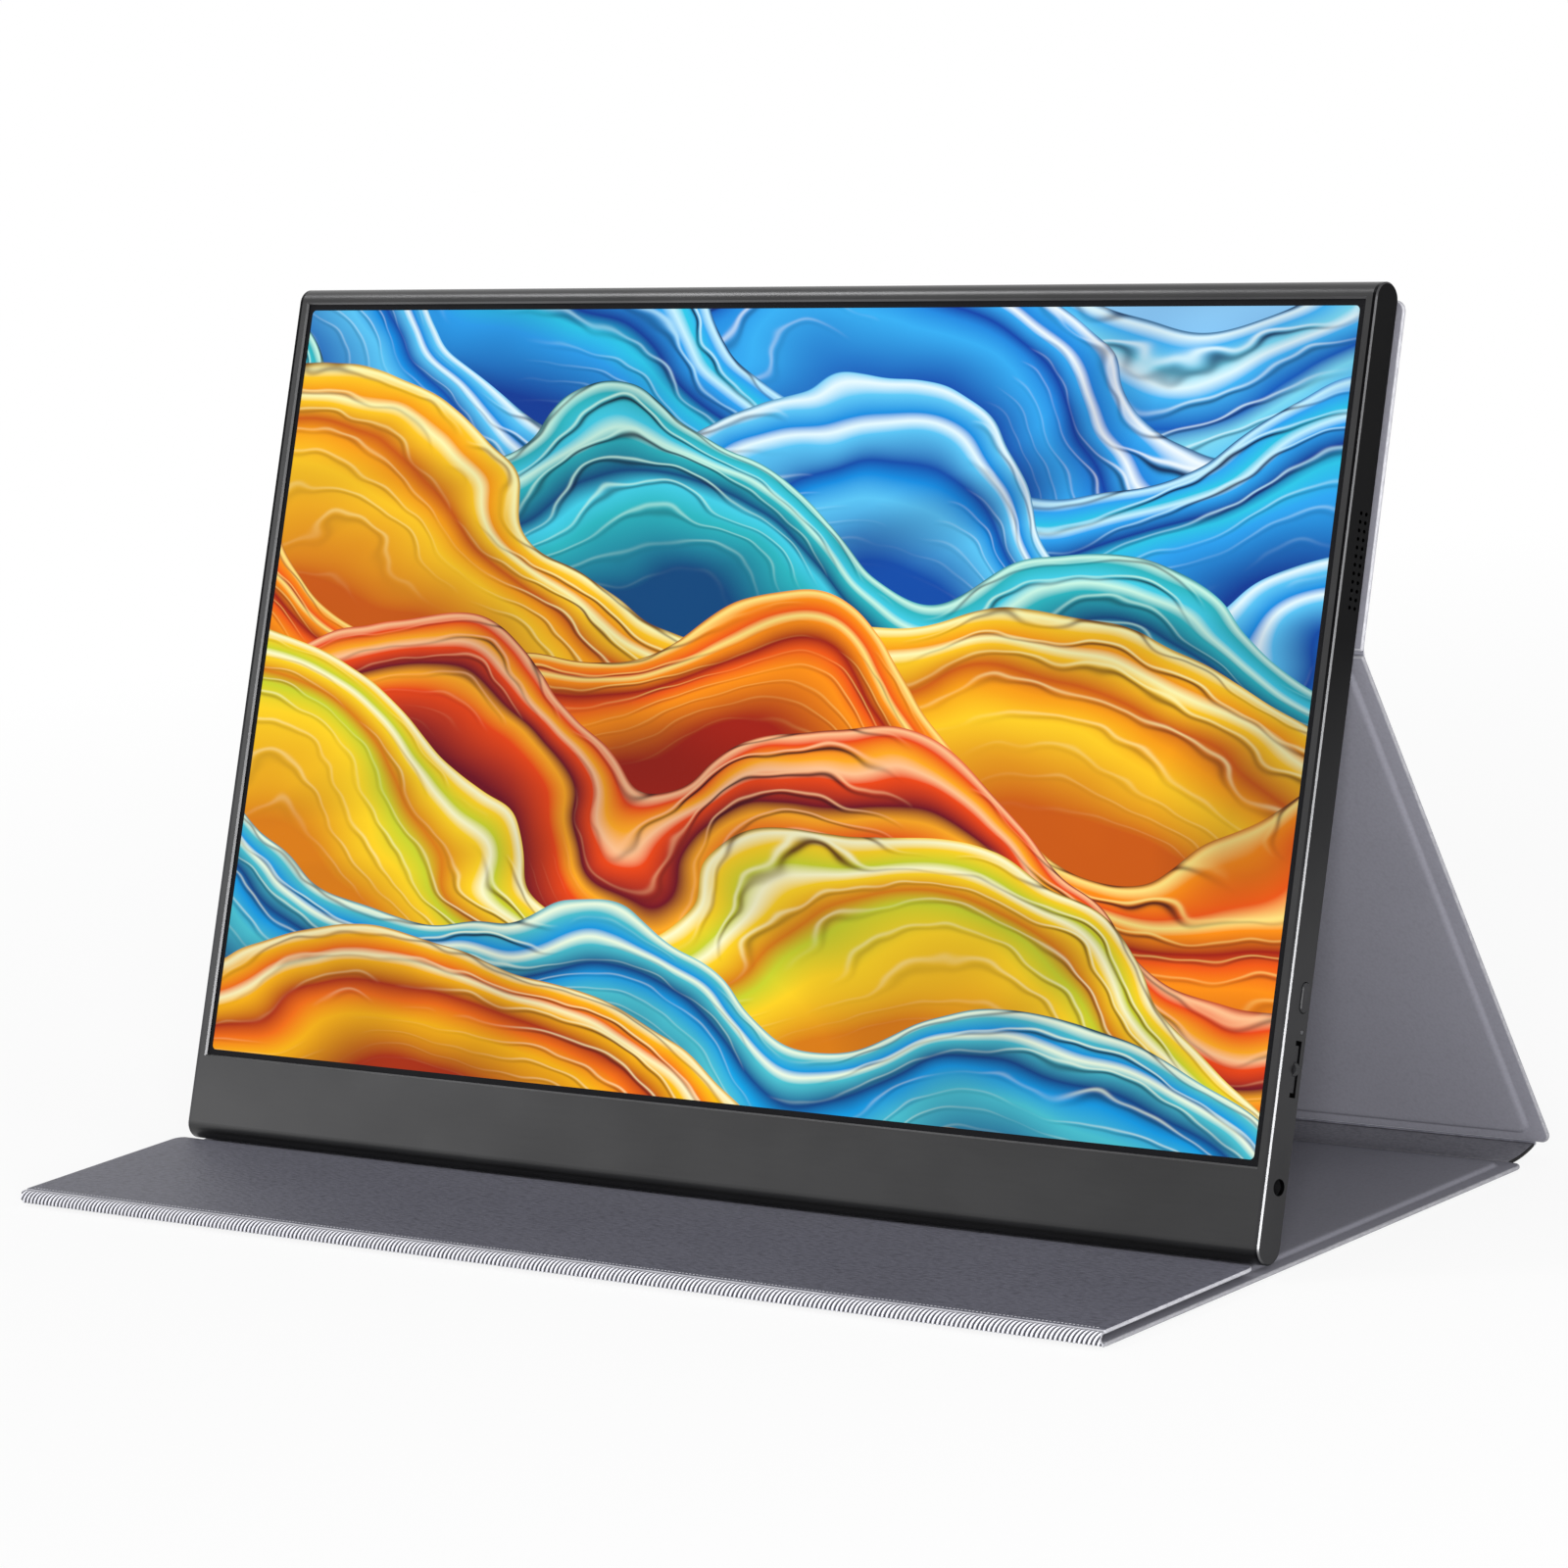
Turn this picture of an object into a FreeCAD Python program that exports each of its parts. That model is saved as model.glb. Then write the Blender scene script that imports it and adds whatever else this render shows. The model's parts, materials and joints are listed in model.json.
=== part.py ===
# Portable monitor on its folding cover, standing as a tent on a desk.
# Millimetres, +Z up, X along the screen's width, the screen looks towards -Y.
# The origin is the middle of the base panel's underside, on the desk.

import FreeCAD
import Part
import Sketcher
import math
import os
import re

# Driving dimensions
sizes = {
    # Monitor body
    "screen_width": 344.2,
    "screen_height": 193.6,
    "screen_border": 1.5,
    "bezel_side": 4.9,
    "body_depth": 8,
    "bezel_top": 6,
    "chin_height": 23,
    "lip_thickness": 0.7,
    "end_wall": 3.2,
    "back_thickness": 0.8,
    "side_thickness": 1.2,
    "side_bevel": 0.35,
    "window_bevel": 0.45,
    "rib_height": 1.2,
    "rib_wall": 1.0,
    "fit_clearance": 0.15,
    "overrun": 2,
    "same_spot": 0.002,
    "fine_sides": 8,
    # How the tent stands
    "lean": 20.5,
    "crease_height": 139,
    "leg_shortfall": 1,
    "spine_width": 11.5,
    "spine_rise": 10,
    "foot_clearance": 0.2,
    "holding_thickness": 0.3,
    # Cover panels
    "cover_overhang": 1,
    "foot_gap": 6.262,
    "flap_depth": 53,
    "upper_depth": 80.5,
    "skin_thickness": 0.5,
    "lining_thickness": 0.5,
    "board_thickness": 0.8,
    "board_inset": 5.2,
    "board_crease_inset": 2.6,
    "panel_corner": 2.8,
    "crease_corner": 0.6,
    "board_corner": 3,
    "edge_bevel": 0.35,
    "pad_bevel": 0.5,
    "front_crease_gap": 0.1,
    "rear_crease_gap": 0.15,
    "crease_gap": 0.6,
    "back_crease_gap": 0.4,
    "flap_clearance": 0.2,
    "spine_inset": 5,
    "spine_thickness": 0.9,
    "spine_bow": 0.5,
    "band_thickness": 0.9,
    "magnet_length": 14,
    "magnet_width": 6,
    "magnet_count": 6,
    "magnet_end_margin": 30,
    "magnet_edge_margin": 14,
    "holding_margin": 9,
    "holding_height": 62,
    # Display module
    "cell_thickness": 1.0,
    "sheets_thickness": 0.4,
    "guide_thickness": 1.0,
    "reflector_thickness": 0.2,
    "tray_thickness": 0.4,
    "tray_wall": 0.4,
    "cell_seat": 1.4,
    "cell_side_margin": 0.8,
    "stack_clearance": 0.2,
    "led_strip_height": 1.6,
    "led_length": 3.5,
    "led_count": 40,
    "led_end_margin": 6,
    "led_board_thickness": 0.3,
    # Electronics
    "board_gap": 0.8,
    "circuit_thickness": 0.8,
    "main_board_width": 104,
    "main_board_height": 58,
    "main_board_bottom": 27,
    "boss_radius": 2.2,
    "boss_inset": 4,
    "screw_radius": 0.8,
    "screw_head_radius": 1.6,
    "screw_head_height": 0.5,
    "screw_length": 2.2,
    "ribbon_width": 32,
    "ribbon_thickness": 0.3,
    "socket_depth": 8,
    "socket_wall": 0.35,
    "socket_back": 2,
    "tongue_thickness": 0.7,
    "tongue_setback": 1.2,
    "socket_axis": 5.55,
    "usb_width": 8.9,
    "usb_height": 3.2,
    "usb_lower_height": 36,
    "usb_upper_height": 52,
    "hdmi_width": 11.2,
    "hdmi_height": 3.1,
    "hdmi_corner": 1.1,
    "hdmi_middle": 72,
    # Right side
    "jack_height": 17.6,
    "jack_axis": 4.7,
    "jack_bore": 1.8,
    "jack_mouth": 1.95,
    "jack_half": 2.3,
    "jack_depth": 12,
    "jack_end_wall": 1.2,
    "key_axis": 5.35,
    "power_above_menu": 16.1,
    "power_length": 6.8,
    "power_width": 2.4,
    "power_proud": 0.35,
    "power_flange": 0.4,
    "power_flange_thickness": 0.6,
    "power_travel": 0.4,
    "key_clearance": 0.2,
    "switch_length": 4.2,
    "switch_width": 2.6,
    "switch_depth": 3,
    "plunger_radius": 0.7,
    "stop_gap": 0.05,
    "menu_height": 44.2,
    "menu_slot_length": 12.8,
    "menu_slot_width": 2.1,
    "menu_travel": 0.4,
    "lever_thickness": 1.4,
    "lever_proud": 0.7,
    "lever_tip": 0.9,
    "lever_tab_base": 3.4,
    "lever_blade": 10.6,
    "lever_blade_thickness": 1.0,
    "lever_setback": 0.4,
    "lever_stem": 2.2,
    "lever_hub_radius": 1.5,
    "lever_hub_depth": 5.4,
    "pin_radius": 0.6,
    "pin_clearance": 0.1,
    "cheek_thickness": 0.5,
    "cheek_gap": 0.15,
    "carrier_back": 1.0,
    "carrier_half": 2.4,
    "lens_above_menu": 8.4,
    "lens_axis": 6,
    "lens_radius": 0.5,
    "lens_clearance": 0.1,
    "key_board_bottom": 34,
    "key_board_top": 68,
    # Speakers
    "speaker_hole_radius": 0.5,
    "speaker_hole_pitch": 1.95,
    "speaker_hole_count": 12,
    "speaker_bottom": 148.4,
    "speaker_row_front": 4.1,
    "speaker_row_back": 6.0,
    "speaker_length": 34,
    "speaker_width": 12,
    "speaker_mouth": 1.2,
    "speaker_corner": 1.5,
}

# Places worked out from the driving dimensions
places = {
    "body_width": "screen_width + 2 * bezel_side",
    "body_height": "chin_height + screen_height + bezel_top",
    "cover_width": "body_width + 2 * cover_overhang",
    "body_radius": "body_depth / 2",
    "half_width": "body_width / 2",
    "inner_half": "half_width - side_thickness",
    "split": "body_depth - back_thickness",
    "split_drop": "body_radius - sqrt(body_radius ^ 2 - (split - body_radius) ^ 2)",
    "window_half": "screen_width / 2 + screen_border",
    "window_bottom": "chin_height - screen_border",
    "window_top": "chin_height + screen_height + screen_border",
    "flange": "skin_thickness + lining_thickness",
    "panel_thickness": "flange + board_thickness",
    "cover_half": "cover_width / 2",
    "stack_height": "2 * panel_thickness + flap_clearance",
    "crease_axis": "flange / 2",
    # Closed triangle of base, leg and monitor
    "foot_z": "panel_thickness + foot_clearance + body_radius",
    "hinge_depth": "body_depth + holding_thickness + panel_thickness",
    "hinge_up": "crease_height - body_radius",
    "hinge_back": "hinge_depth - body_radius",
    "hinge_over_foot": "hinge_up * cos(lean) - hinge_back * sin(lean)",
    "hinge_behind_foot": "hinge_up * sin(lean) + hinge_back * cos(lean)",
    "leg_length": "crease_height - leg_shortfall",
    "leg_foot_z": "crease_axis + spine_width * sin(spine_rise)",
    "leg_reach": "sqrt(leg_length ^ 2 + crease_axis ^ 2)",
    "leg_rise": "foot_z + hinge_over_foot - leg_foot_z",
    "leg_run": "sqrt(leg_reach ^ 2 - leg_rise ^ 2)",
    "tent_depth": "hinge_behind_foot + leg_run - spine_width * cos(spine_rise)",
    "base_depth": "tent_depth + foot_gap + flap_depth",
    "front_y": "0 - base_depth / 2",
    "rear_y": "base_depth / 2",
    "leg_foot_y": "rear_y + spine_width * cos(spine_rise)",
    "leg_turn": "180 deg - atan(leg_rise / leg_run) + atan(crease_axis / leg_length)",
    "hinge_y": "leg_foot_y - leg_run",
    "hinge_z": "foot_z + hinge_over_foot",
    "foot_y": "hinge_y - hinge_behind_foot",
    "corner_y": "foot_y - body_radius * (cos(lean) + sin(lean))",
    "corner_z": "foot_z - body_radius * (cos(lean) - sin(lean))",
    "leg_origin_y": "leg_foot_y + crease_axis * sin(leg_turn)",
    "leg_origin_z": "leg_foot_z - crease_axis * cos(leg_turn)",
    # Display module, front to back
    "cell_half": "inner_half - cell_side_margin",
    "cell_bottom": "window_bottom - cell_seat",
    "cell_top": "window_top + cell_seat - fit_clearance",
    "cell_back": "lip_thickness + cell_thickness",
    "sheets_back": "cell_back + sheets_thickness",
    "guide_back": "sheets_back + guide_thickness",
    "reflector_back": "guide_back + reflector_thickness",
    "tray_back": "reflector_back + tray_thickness",
    "stack_half": "cell_half - tray_wall - stack_clearance",
    "stack_bottom": "cell_bottom + tray_wall + stack_clearance",
    "stack_top": "cell_top - tray_wall - stack_clearance",
    "guide_bottom": "stack_bottom + led_strip_height",
    # Electronics
    "circuit_front": "tray_back + board_gap",
    "circuit_back": "circuit_front + circuit_thickness",
    "main_board_left": "0 - half_width + side_thickness + socket_depth + fit_clearance",
    "main_board_top": "main_board_bottom + main_board_height",
    "speaker_top": "speaker_bottom + (speaker_hole_count - 1) * speaker_hole_pitch",
    "speaker_middle": "(speaker_bottom + speaker_top) / 2",
    # Keys
    "power_height": "menu_height + power_above_menu",
    "lens_height": "menu_height + lens_above_menu",
    "power_inner": "inner_half - power_flange_thickness - fit_clearance",
    "plunger_gap": "power_travel + stop_gap",
    "menu_switch_gap": "menu_travel + stop_gap",
    "pivot_x": "half_width - lever_hub_depth",
    "carrier_inner": "pivot_x - lever_hub_radius - fit_clearance - carrier_back",
    "key_board_face": "carrier_inner - menu_switch_gap - switch_depth",
}

doc = FreeCAD.newDocument("portable_monitor")


def fill_sheet(name, cells):
    sheet = doc.addObject("Spreadsheet::Sheet", name)
    for row, (alias, content) in enumerate(cells, 1):
        sheet.set(f"A{row}", alias)
        sheet.set(f"B{row}", content)
        sheet.setAlias(f"B{row}", alias)
    return sheet


def full(expression):
    """Put the sheet's name in front of every size or place in an expression."""

    def name_cell(match):
        word = match.group(0)
        if word in sizes:
            return f"Sizes.{word}"
        if word in places:
            return f"Places.{word}"
        return word

    return re.sub(r"[a-z][a-z_]*", name_cell, expression)


fill_sheet("Sizes", [(alias, str(size)) for alias, size in sizes.items()])
doc.recompute()
places_sheet = fill_sheet("Places", [(alias, "=" + full(rule)) for alias, rule in places.items()])
doc.recompute()


def value(expression):
    found = places_sheet.evalExpression(full(expression))
    return float(getattr(found, "Value", found))


# Frames: where each group of pieces is carried, as a turn about X and a point
frames = {
    "base": ("0", "0", "0"),
    "band": ("0", "front_y", "0"),
    "flap": ("180", "front_y", "stack_height"),
    "spine": ("spine_rise", "rear_y", "crease_axis"),
    "leg": ("leg_turn", "leg_origin_y", "leg_origin_z"),
    "upper": ("90 - lean", "hinge_y", "hinge_z"),
    "display": ("0 - lean", "corner_y", "corner_z"),
}
pieces = []


def new_body(label, frame):
    body = doc.addObject("PartDesign::Body", label)
    body.Label = label
    turn, across, up = frames[frame]
    body.Placement = FreeCAD.Placement(FreeCAD.Vector(), FreeCAD.Rotation(FreeCAD.Vector(1, 0, 0), 1))
    body.setExpression("Placement.Rotation.Angle", full(turn))
    body.setExpression("Placement.Base.y", full(across))
    body.setExpression("Placement.Base.z", full(up))
    pieces.append(body)
    return body


def datum(body, role):
    return next(feature for feature in body.Origin.OriginFeatures if feature.Role == role)


def attach(feature, body, role, offsets):
    feature.AttachmentSupport = [(datum(body, role), "")]
    feature.MapMode = "FlatFace"
    for axis, offset in zip("xyz", offsets):
        if offset != "0":
            feature.setExpression(f"AttachmentOffset.Base.{axis}", full(offset))


def bind(feature, **expressions):
    for name, expression in expressions.items():
        feature.setExpression(name, full(expression))


def new_sketch(body, role, level="0"):
    sketch = body.newObject("Sketcher::SketchObject", "Sketch")
    attach(sketch, body, role, ("0", "0", level))
    return sketch


def fix(sketch, kind, geometry, vertex, expression):
    constraint = Sketcher.Constraint(kind, -1, 1, geometry, vertex, value(expression))
    index = sketch.addConstraint(constraint)
    sketch.setExpression(f"Constraints[{index}]", full(expression))


def outline(sketch, corners):
    """Draw a closed outline; each corner is x, y and, if an arc leaves it, its radius and turn."""
    spots = [FreeCAD.Vector(value(corner[0]), value(corner[1]), 0) for corner in corners]
    starts = []
    ends = []
    for index, corner in enumerate(corners):
        here = spots[index]
        there = spots[(index + 1) % len(spots)]
        if len(corner) == 2:
            geometry = sketch.addGeometry(Part.LineSegment(here, there), False)
            starts.append((geometry, 1))
            ends.append((geometry, 2))
            continue
        radius = value(corner[2])
        clockwise = corner[3] == "cw"
        chord = there - here
        side = FreeCAD.Vector(chord.y, -chord.x, 0) * (1 if clockwise else -1)
        height = math.sqrt(max(radius ** 2 - chord.Length ** 2 / 4, 0))
        middle = here + chord * 0.5 + side * (height / chord.Length)
        first, last = (there, here) if clockwise else (here, there)
        angles = [math.atan2(spot.y - middle.y, spot.x - middle.x) for spot in (first, last)]
        if angles[1] < angles[0]:
            angles[1] += 2 * math.pi
        circle = Part.Circle(middle, FreeCAD.Vector(0, 0, 1), radius)
        geometry = sketch.addGeometry(Part.ArcOfCircle(circle, angles[0], angles[1]), False)
        starts.append((geometry, 2 if clockwise else 1))
        ends.append((geometry, 1 if clockwise else 2))
        size = sketch.addConstraint(Sketcher.Constraint("Radius", geometry, radius))
        sketch.setExpression(f"Constraints[{size}]", full(corner[2]))
    for index, (geometry, vertex) in enumerate(starts):
        before = ends[index - 1]
        sketch.addConstraint(Sketcher.Constraint("Coincident", before[0], before[1], geometry, vertex))
        fix(sketch, "DistanceX", geometry, vertex, corners[index][0])
        fix(sketch, "DistanceY", geometry, vertex, corners[index][1])


def rectangle(sketch, left, right, bottom, top):
    outline(sketch, [(left, bottom), (left, top), (right, top), (right, bottom)])


def rounded_rectangle(sketch, left, right, bottom, top, low_radius, high_radius):
    outline(sketch, [
        (left, f"{bottom} + {low_radius}"),
        (left, f"{top} - ({high_radius})", high_radius, "cw"),
        (f"{left} + {high_radius}", top),
        (f"{right} - ({high_radius})", top, high_radius, "cw"),
        (right, f"{top} - ({high_radius})"),
        (right, f"{bottom} + {low_radius}", low_radius, "cw"),
        (f"{right} - ({low_radius})", bottom),
        (f"{left} + {low_radius}", bottom, low_radius, "cw"),
    ])


def stadium(sketch, across, up, length, width):
    """Draw a slot that is long in the sketch's own y direction."""
    radius = f"({width}) / 2"
    low = f"({up}) - ({length}) / 2"
    high = f"({up}) + ({length}) / 2"
    left = f"({across}) - {radius}"
    right = f"({across}) + {radius}"
    outline(sketch, [
        (left, f"{low} + {radius}"),
        (left, f"{high} - {radius}", radius, "cw"),
        (across, high, radius, "cw"),
        (right, f"{high} - {radius}"),
        (right, f"{low} + {radius}", radius, "cw"),
        (across, low, radius, "cw"),
    ])


def refresh(body, feature):
    for item in (body.Origin, feature, body):
        item.recompute(True)


def pad(body, sketch, length, symmetric=False):
    feature = body.newObject("PartDesign::Pad", "Pad")
    feature.Profile = sketch
    feature.SideType = "Symmetric" if symmetric else "One side"
    bind(feature, Length=length)
    refresh(body, feature)
    return feature


def pocket(body, sketch, length, backwards=True):
    before = body.Shape.Volume
    feature = body.newObject("PartDesign::Pocket", "Pocket")
    feature.Profile = sketch
    feature.Reversed = backwards
    bind(feature, Length=length)
    refresh(body, feature)
    if body.Shape.Volume >= before:
        raise RuntimeError(f"a pocket in {body.Label} cuts nothing")
    return feature


def solid(body, kind, role, offsets, **expressions):
    feature = body.newObject(f"PartDesign::{kind}", kind)
    attach(feature, body, role, offsets)
    bind(feature, **expressions)
    refresh(body, feature)
    return feature


def block(body, left, right, near, far, low, high, kind="AdditiveBox"):
    return solid(body, kind, "XY_Plane", (left, near, low), Length=f"({right}) - ({left})",
                 Width=f"({far}) - ({near})", Height=f"({high}) - ({low})")


def rod(body, role, across, up, level, length, radius, kind="AdditiveCylinder"):
    return solid(body, kind, role, (across, up, level), Radius=radius, Height=length)


def prism(body, role, across, up, level, length, radius, kind="AdditivePrism"):
    """A rod with few sides, for small things that repeat."""
    return solid(body, kind, role, (across, up, level), Polygon="fine_sides", Circumradius=radius,
                 Height=length)


def edges_where(body, test):
    names = []
    for index, edge in enumerate(body.Shape.Edges, 1):
        if test(edge):
            names.append(f"Edge{index}")
    return names


def dress(body, kind, names, size):
    last = body.Tip
    feature = body.newObject(f"PartDesign::{kind}", kind)
    feature.Base = (last, names)
    bind(feature, **{"Radius" if kind == "Fillet" else "Size": size})
    refresh(body, feature)
    return feature


def local_edges(body, test):
    """Pick edges by their middle and direction in the body's own frame."""
    back = body.Placement.inverse()

    def turned(edge):
        first = back.multVec(edge.valueAt(edge.FirstParameter))
        last = back.multVec(edge.valueAt(edge.LastParameter))
        return test((first + last) * 0.5, last - first)

    return edges_where(body, turned)


def near_to(first, second):
    return abs(first - second) < value("same_spot")


def repeat(body, features, axis, length, count):
    pattern = body.newObject("PartDesign::LinearPattern", "LinearPattern")
    pattern.Originals = features
    pattern.Direction = (datum(body, axis), [""])
    bind(pattern, Length=length, Occurrences=count)
    body.Tip = pattern
    refresh(body, pattern)
    return pattern


# Cover panels: an outer skin, a stiff board and a lining pressed over it.
# Each lies in its own frame, outer face at height zero, between two creases along X.
def panel_outline(sketch, low, high, free_end):
    radii = ("panel_corner", "crease_corner") if free_end == "low" else ("crease_corner", "panel_corner")
    rounded_rectangle(sketch, "0 - cover_half", "cover_half", low, high, *radii)


def board_outline(sketch, low, high, insets, grow):
    """Outline of a panel's board, grown by the thickness of what is pressed over it."""
    half = f"cover_half - board_inset + {grow}"
    radius = f"board_corner + {grow}"
    rounded_rectangle(sketch, f"0 - ({half})", half, f"{low} + {insets[0]} - {grow}",
                      f"{high} - {insets[1]} + {grow}", radius, radius)


def bevel_rim(body, level, size):
    spot = value(level)
    names = local_edges(body, lambda middle, run: near_to(middle.z, spot) and near_to(run.z, 0))
    dress(body, "Chamfer", names, size)


def cover_panel(name, low, high, free_end, insets):
    skin = new_body(f"{name}_skin", name)
    sketch = new_sketch(skin, "XY_Plane")
    panel_outline(sketch, low, high, free_end)
    pad(skin, sketch, "skin_thickness")
    bevel_rim(skin, "0", "edge_bevel")

    board = new_body(f"{name}_board", name)
    sketch = new_sketch(board, "XY_Plane", "skin_thickness")
    board_outline(sketch, low, high, insets, "0")
    pad(board, sketch, "board_thickness")

    lining = new_body(f"{name}_lining", name)
    sketch = new_sketch(lining, "XY_Plane", "skin_thickness")
    panel_outline(sketch, low, high, free_end)
    pad(lining, sketch, "lining_thickness")
    bevel_rim(lining, "flange", "edge_bevel")
    sketch = new_sketch(lining, "XY_Plane", "skin_thickness")
    board_outline(sketch, low, high, insets, "lining_thickness")
    pad(lining, sketch, "board_thickness + lining_thickness")
    bevel_rim(lining, "panel_thickness", "pad_bevel")
    sketch = new_sketch(lining, "XY_Plane", "skin_thickness")
    board_outline(sketch, low, high, insets, "0")
    pocket(lining, sketch, "board_thickness")
    return skin, board, lining


def cover_magnets(name, board, row):
    """Flat bar magnets set into windows through a panel's board."""
    first = "0 - cover_half + magnet_end_margin"
    run = "cover_width - 2 * magnet_end_margin - magnet_length"
    last = f"{first} + magnet_length"
    low = f"{row} - magnet_width / 2"
    high = f"{row} + magnet_width / 2"
    top = "skin_thickness + board_thickness"
    window = block(board, f"{first} - fit_clearance", f"{last} + fit_clearance", f"{low} - fit_clearance",
                   f"{high} + fit_clearance", "skin_thickness", top, "SubtractiveBox")
    repeat(board, [window], "X_Axis", run, "magnet_count")
    magnets = new_body(f"{name}_magnets", name)
    bar = block(magnets, first, last, low, high, "skin_thickness", top)
    repeat(magnets, [bar], "X_Axis", run, "magnet_count")


def front_band():
    """Rolled crease: a half round strip from the base's front edge up to the flap's."""
    body = new_body("front_band", "band")
    sketch = new_sketch(body, "YZ_Plane")
    edge = "0 - front_crease_gap"
    outer = "stack_height / 2"
    inner = "stack_height / 2 - band_thickness"
    outline(sketch, [
        (edge, "0", outer, "cw"),
        (f"{edge} - {outer}", outer, outer, "cw"),
        (edge, "stack_height"),
        (edge, "stack_height - band_thickness", inner, "ccw"),
        (f"{edge} - ({inner})", outer, inner, "ccw"),
        (edge, "band_thickness"),
    ])
    pad(body, sketch, "cover_width", symmetric=True)


def spine_strip():
    """Bowed strip between the base's rear crease and the leg's lower crease."""
    body = new_body("spine_strip", "spine")
    sketch = new_sketch(body, "YZ_Plane")
    near = "rear_crease_gap"
    far = "spine_width - crease_gap"
    half_span = "((spine_width - rear_crease_gap - crease_gap) / 2)"
    bend = f"({half_span} ^ 2 + spine_bow ^ 2) / (2 * spine_bow)"
    low = "0 - spine_thickness / 2"
    high = "spine_thickness / 2"
    outline(sketch, [
        (near, low),
        (near, high, f"{bend} - spine_thickness / 2", "ccw"),
        (far, high),
        (far, low, f"{bend} + spine_thickness / 2", "cw"),
    ])
    pad(body, sketch, "cover_width - 2 * spine_inset", symmetric=True)


both_creases = ("board_crease_inset", "board_crease_inset")
cover_panel("base", "front_y + front_crease_gap", "rear_y - rear_crease_gap", "high", both_creases)
flap_parts = cover_panel("flap", "0 - flap_depth", "0 - front_crease_gap", "low",
                         ("board_inset", "board_crease_inset"))
cover_magnets("flap", flap_parts[1], "0 - flap_depth + magnet_edge_margin")
front_band()
spine_strip()
cover_panel("leg", "crease_gap", "leg_length - back_crease_gap", "low", both_creases)
upper_parts = cover_panel("upper", "back_crease_gap", "upper_depth", "high",
                          ("board_crease_inset", "board_inset"))
cover_magnets("upper", upper_parts[1], "upper_depth - magnet_edge_margin")


# Monitor housing, in its own frame: Y is depth behind the front face, Z is height above the lower end.
def front_frame():
    body = new_body("front_frame", "display")
    sketch = new_sketch(body, "YZ_Plane")
    top_inner = "body_height - end_wall"
    outline(sketch, [
        ("0", "body_radius"),
        ("0", "body_height - body_radius", "body_radius", "cw"),
        ("body_radius", "body_height", "body_radius", "cw"),
        ("split", "body_height - split_drop"),
        ("split", top_inner),
        ("lip_thickness", top_inner),
        ("lip_thickness", "end_wall"),
        ("split", "end_wall"),
        ("split", "split_drop", "body_radius", "cw"),
        ("body_radius", "0", "body_radius", "cw"),
    ])
    pad(body, sketch, "2 * inner_half", symmetric=True)
    sketch = new_sketch(body, "XZ_Plane", "0 - lip_thickness")
    rectangle(sketch, "0 - window_half", "window_half", "window_bottom", "window_top")
    pocket(body, sketch, "lip_thickness + overrun")
    names = local_edges(body, lambda middle, run: near_to(middle.y, 0) and near_to(run.y, 0)
                        and abs(middle.x) <= value("window_half") + value("fit_clearance")
                        and value("window_bottom - fit_clearance") <= middle.z
                        and middle.z <= value("window_top + fit_clearance"))
    dress(body, "Chamfer", names, "window_bevel")


def rear_cover():
    body = new_body("rear_cover", "display")
    sketch = new_sketch(body, "YZ_Plane")
    rib_low = "end_wall + fit_clearance"
    rib_high = "body_height - end_wall - fit_clearance"
    rib_front = "split - rib_height"
    outline(sketch, [
        ("split", "split_drop"),
        ("split", rib_low),
        (rib_front, rib_low),
        (rib_front, f"{rib_low} + rib_wall"),
        ("split", f"{rib_low} + rib_wall"),
        ("split", f"{rib_high} - rib_wall"),
        (rib_front, f"{rib_high} - rib_wall"),
        (rib_front, rib_high),
        ("split", rib_high),
        ("split", "body_height - split_drop", "body_radius", "cw"),
        ("body_depth", "body_height - body_radius"),
        ("body_depth", "body_radius", "body_radius", "cw"),
    ])
    pad(body, sketch, "2 * inner_half", symmetric=True)
    boss_length = "split - circuit_back"
    first = "main_board_left + boss_inset"
    for height in ("main_board_bottom + boss_inset", "main_board_top - boss_inset"):
        for across in (first, "main_board_left + main_board_width - boss_inset"):
            prism(body, "XZ_Plane", across, height, "0 - split", boss_length, "boss_radius")
            prism(body, "XZ_Plane", across, height, "0 - circuit_front - screw_length", "screw_length",
                  "screw_radius + pin_clearance", "SubtractivePrism")


def side_plate(name, inner_face):
    """Flat end plate with the housing's rounded outline and a bevelled rim."""
    body = new_body(name, "display")
    sketch = new_sketch(body, "YZ_Plane", inner_face)
    outline(sketch, [
        ("0", "body_radius"),
        ("0", "body_height - body_radius", "body_radius", "cw"),
        ("body_radius", "body_height", "body_radius", "cw"),
        ("body_depth", "body_height - body_radius"),
        ("body_depth", "body_radius", "body_radius", "cw"),
        ("body_radius", "0", "body_radius", "cw"),
    ])
    pad(body, sketch, "side_thickness")
    outer = value("half_width") * (1 if value(inner_face) > 0 else -1)
    names = local_edges(body, lambda middle, run: near_to(middle.x, outer) and near_to(run.x, 0))
    dress(body, "Chamfer", names, "side_bevel")
    for row in ("speaker_row_front", "speaker_row_back"):
        hole = prism(body, "YZ_Plane", row, "speaker_bottom", inner_face, "side_thickness",
                     "speaker_hole_radius", "SubtractivePrism")
        repeat(body, [hole], "Z_Axis", "speaker_top - speaker_bottom", "speaker_hole_count")
    return body


def cut_through(body, inner_face, draw):
    sketch = new_sketch(body, "YZ_Plane", inner_face)
    draw(sketch)
    pocket(body, sketch, "side_thickness")


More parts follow.
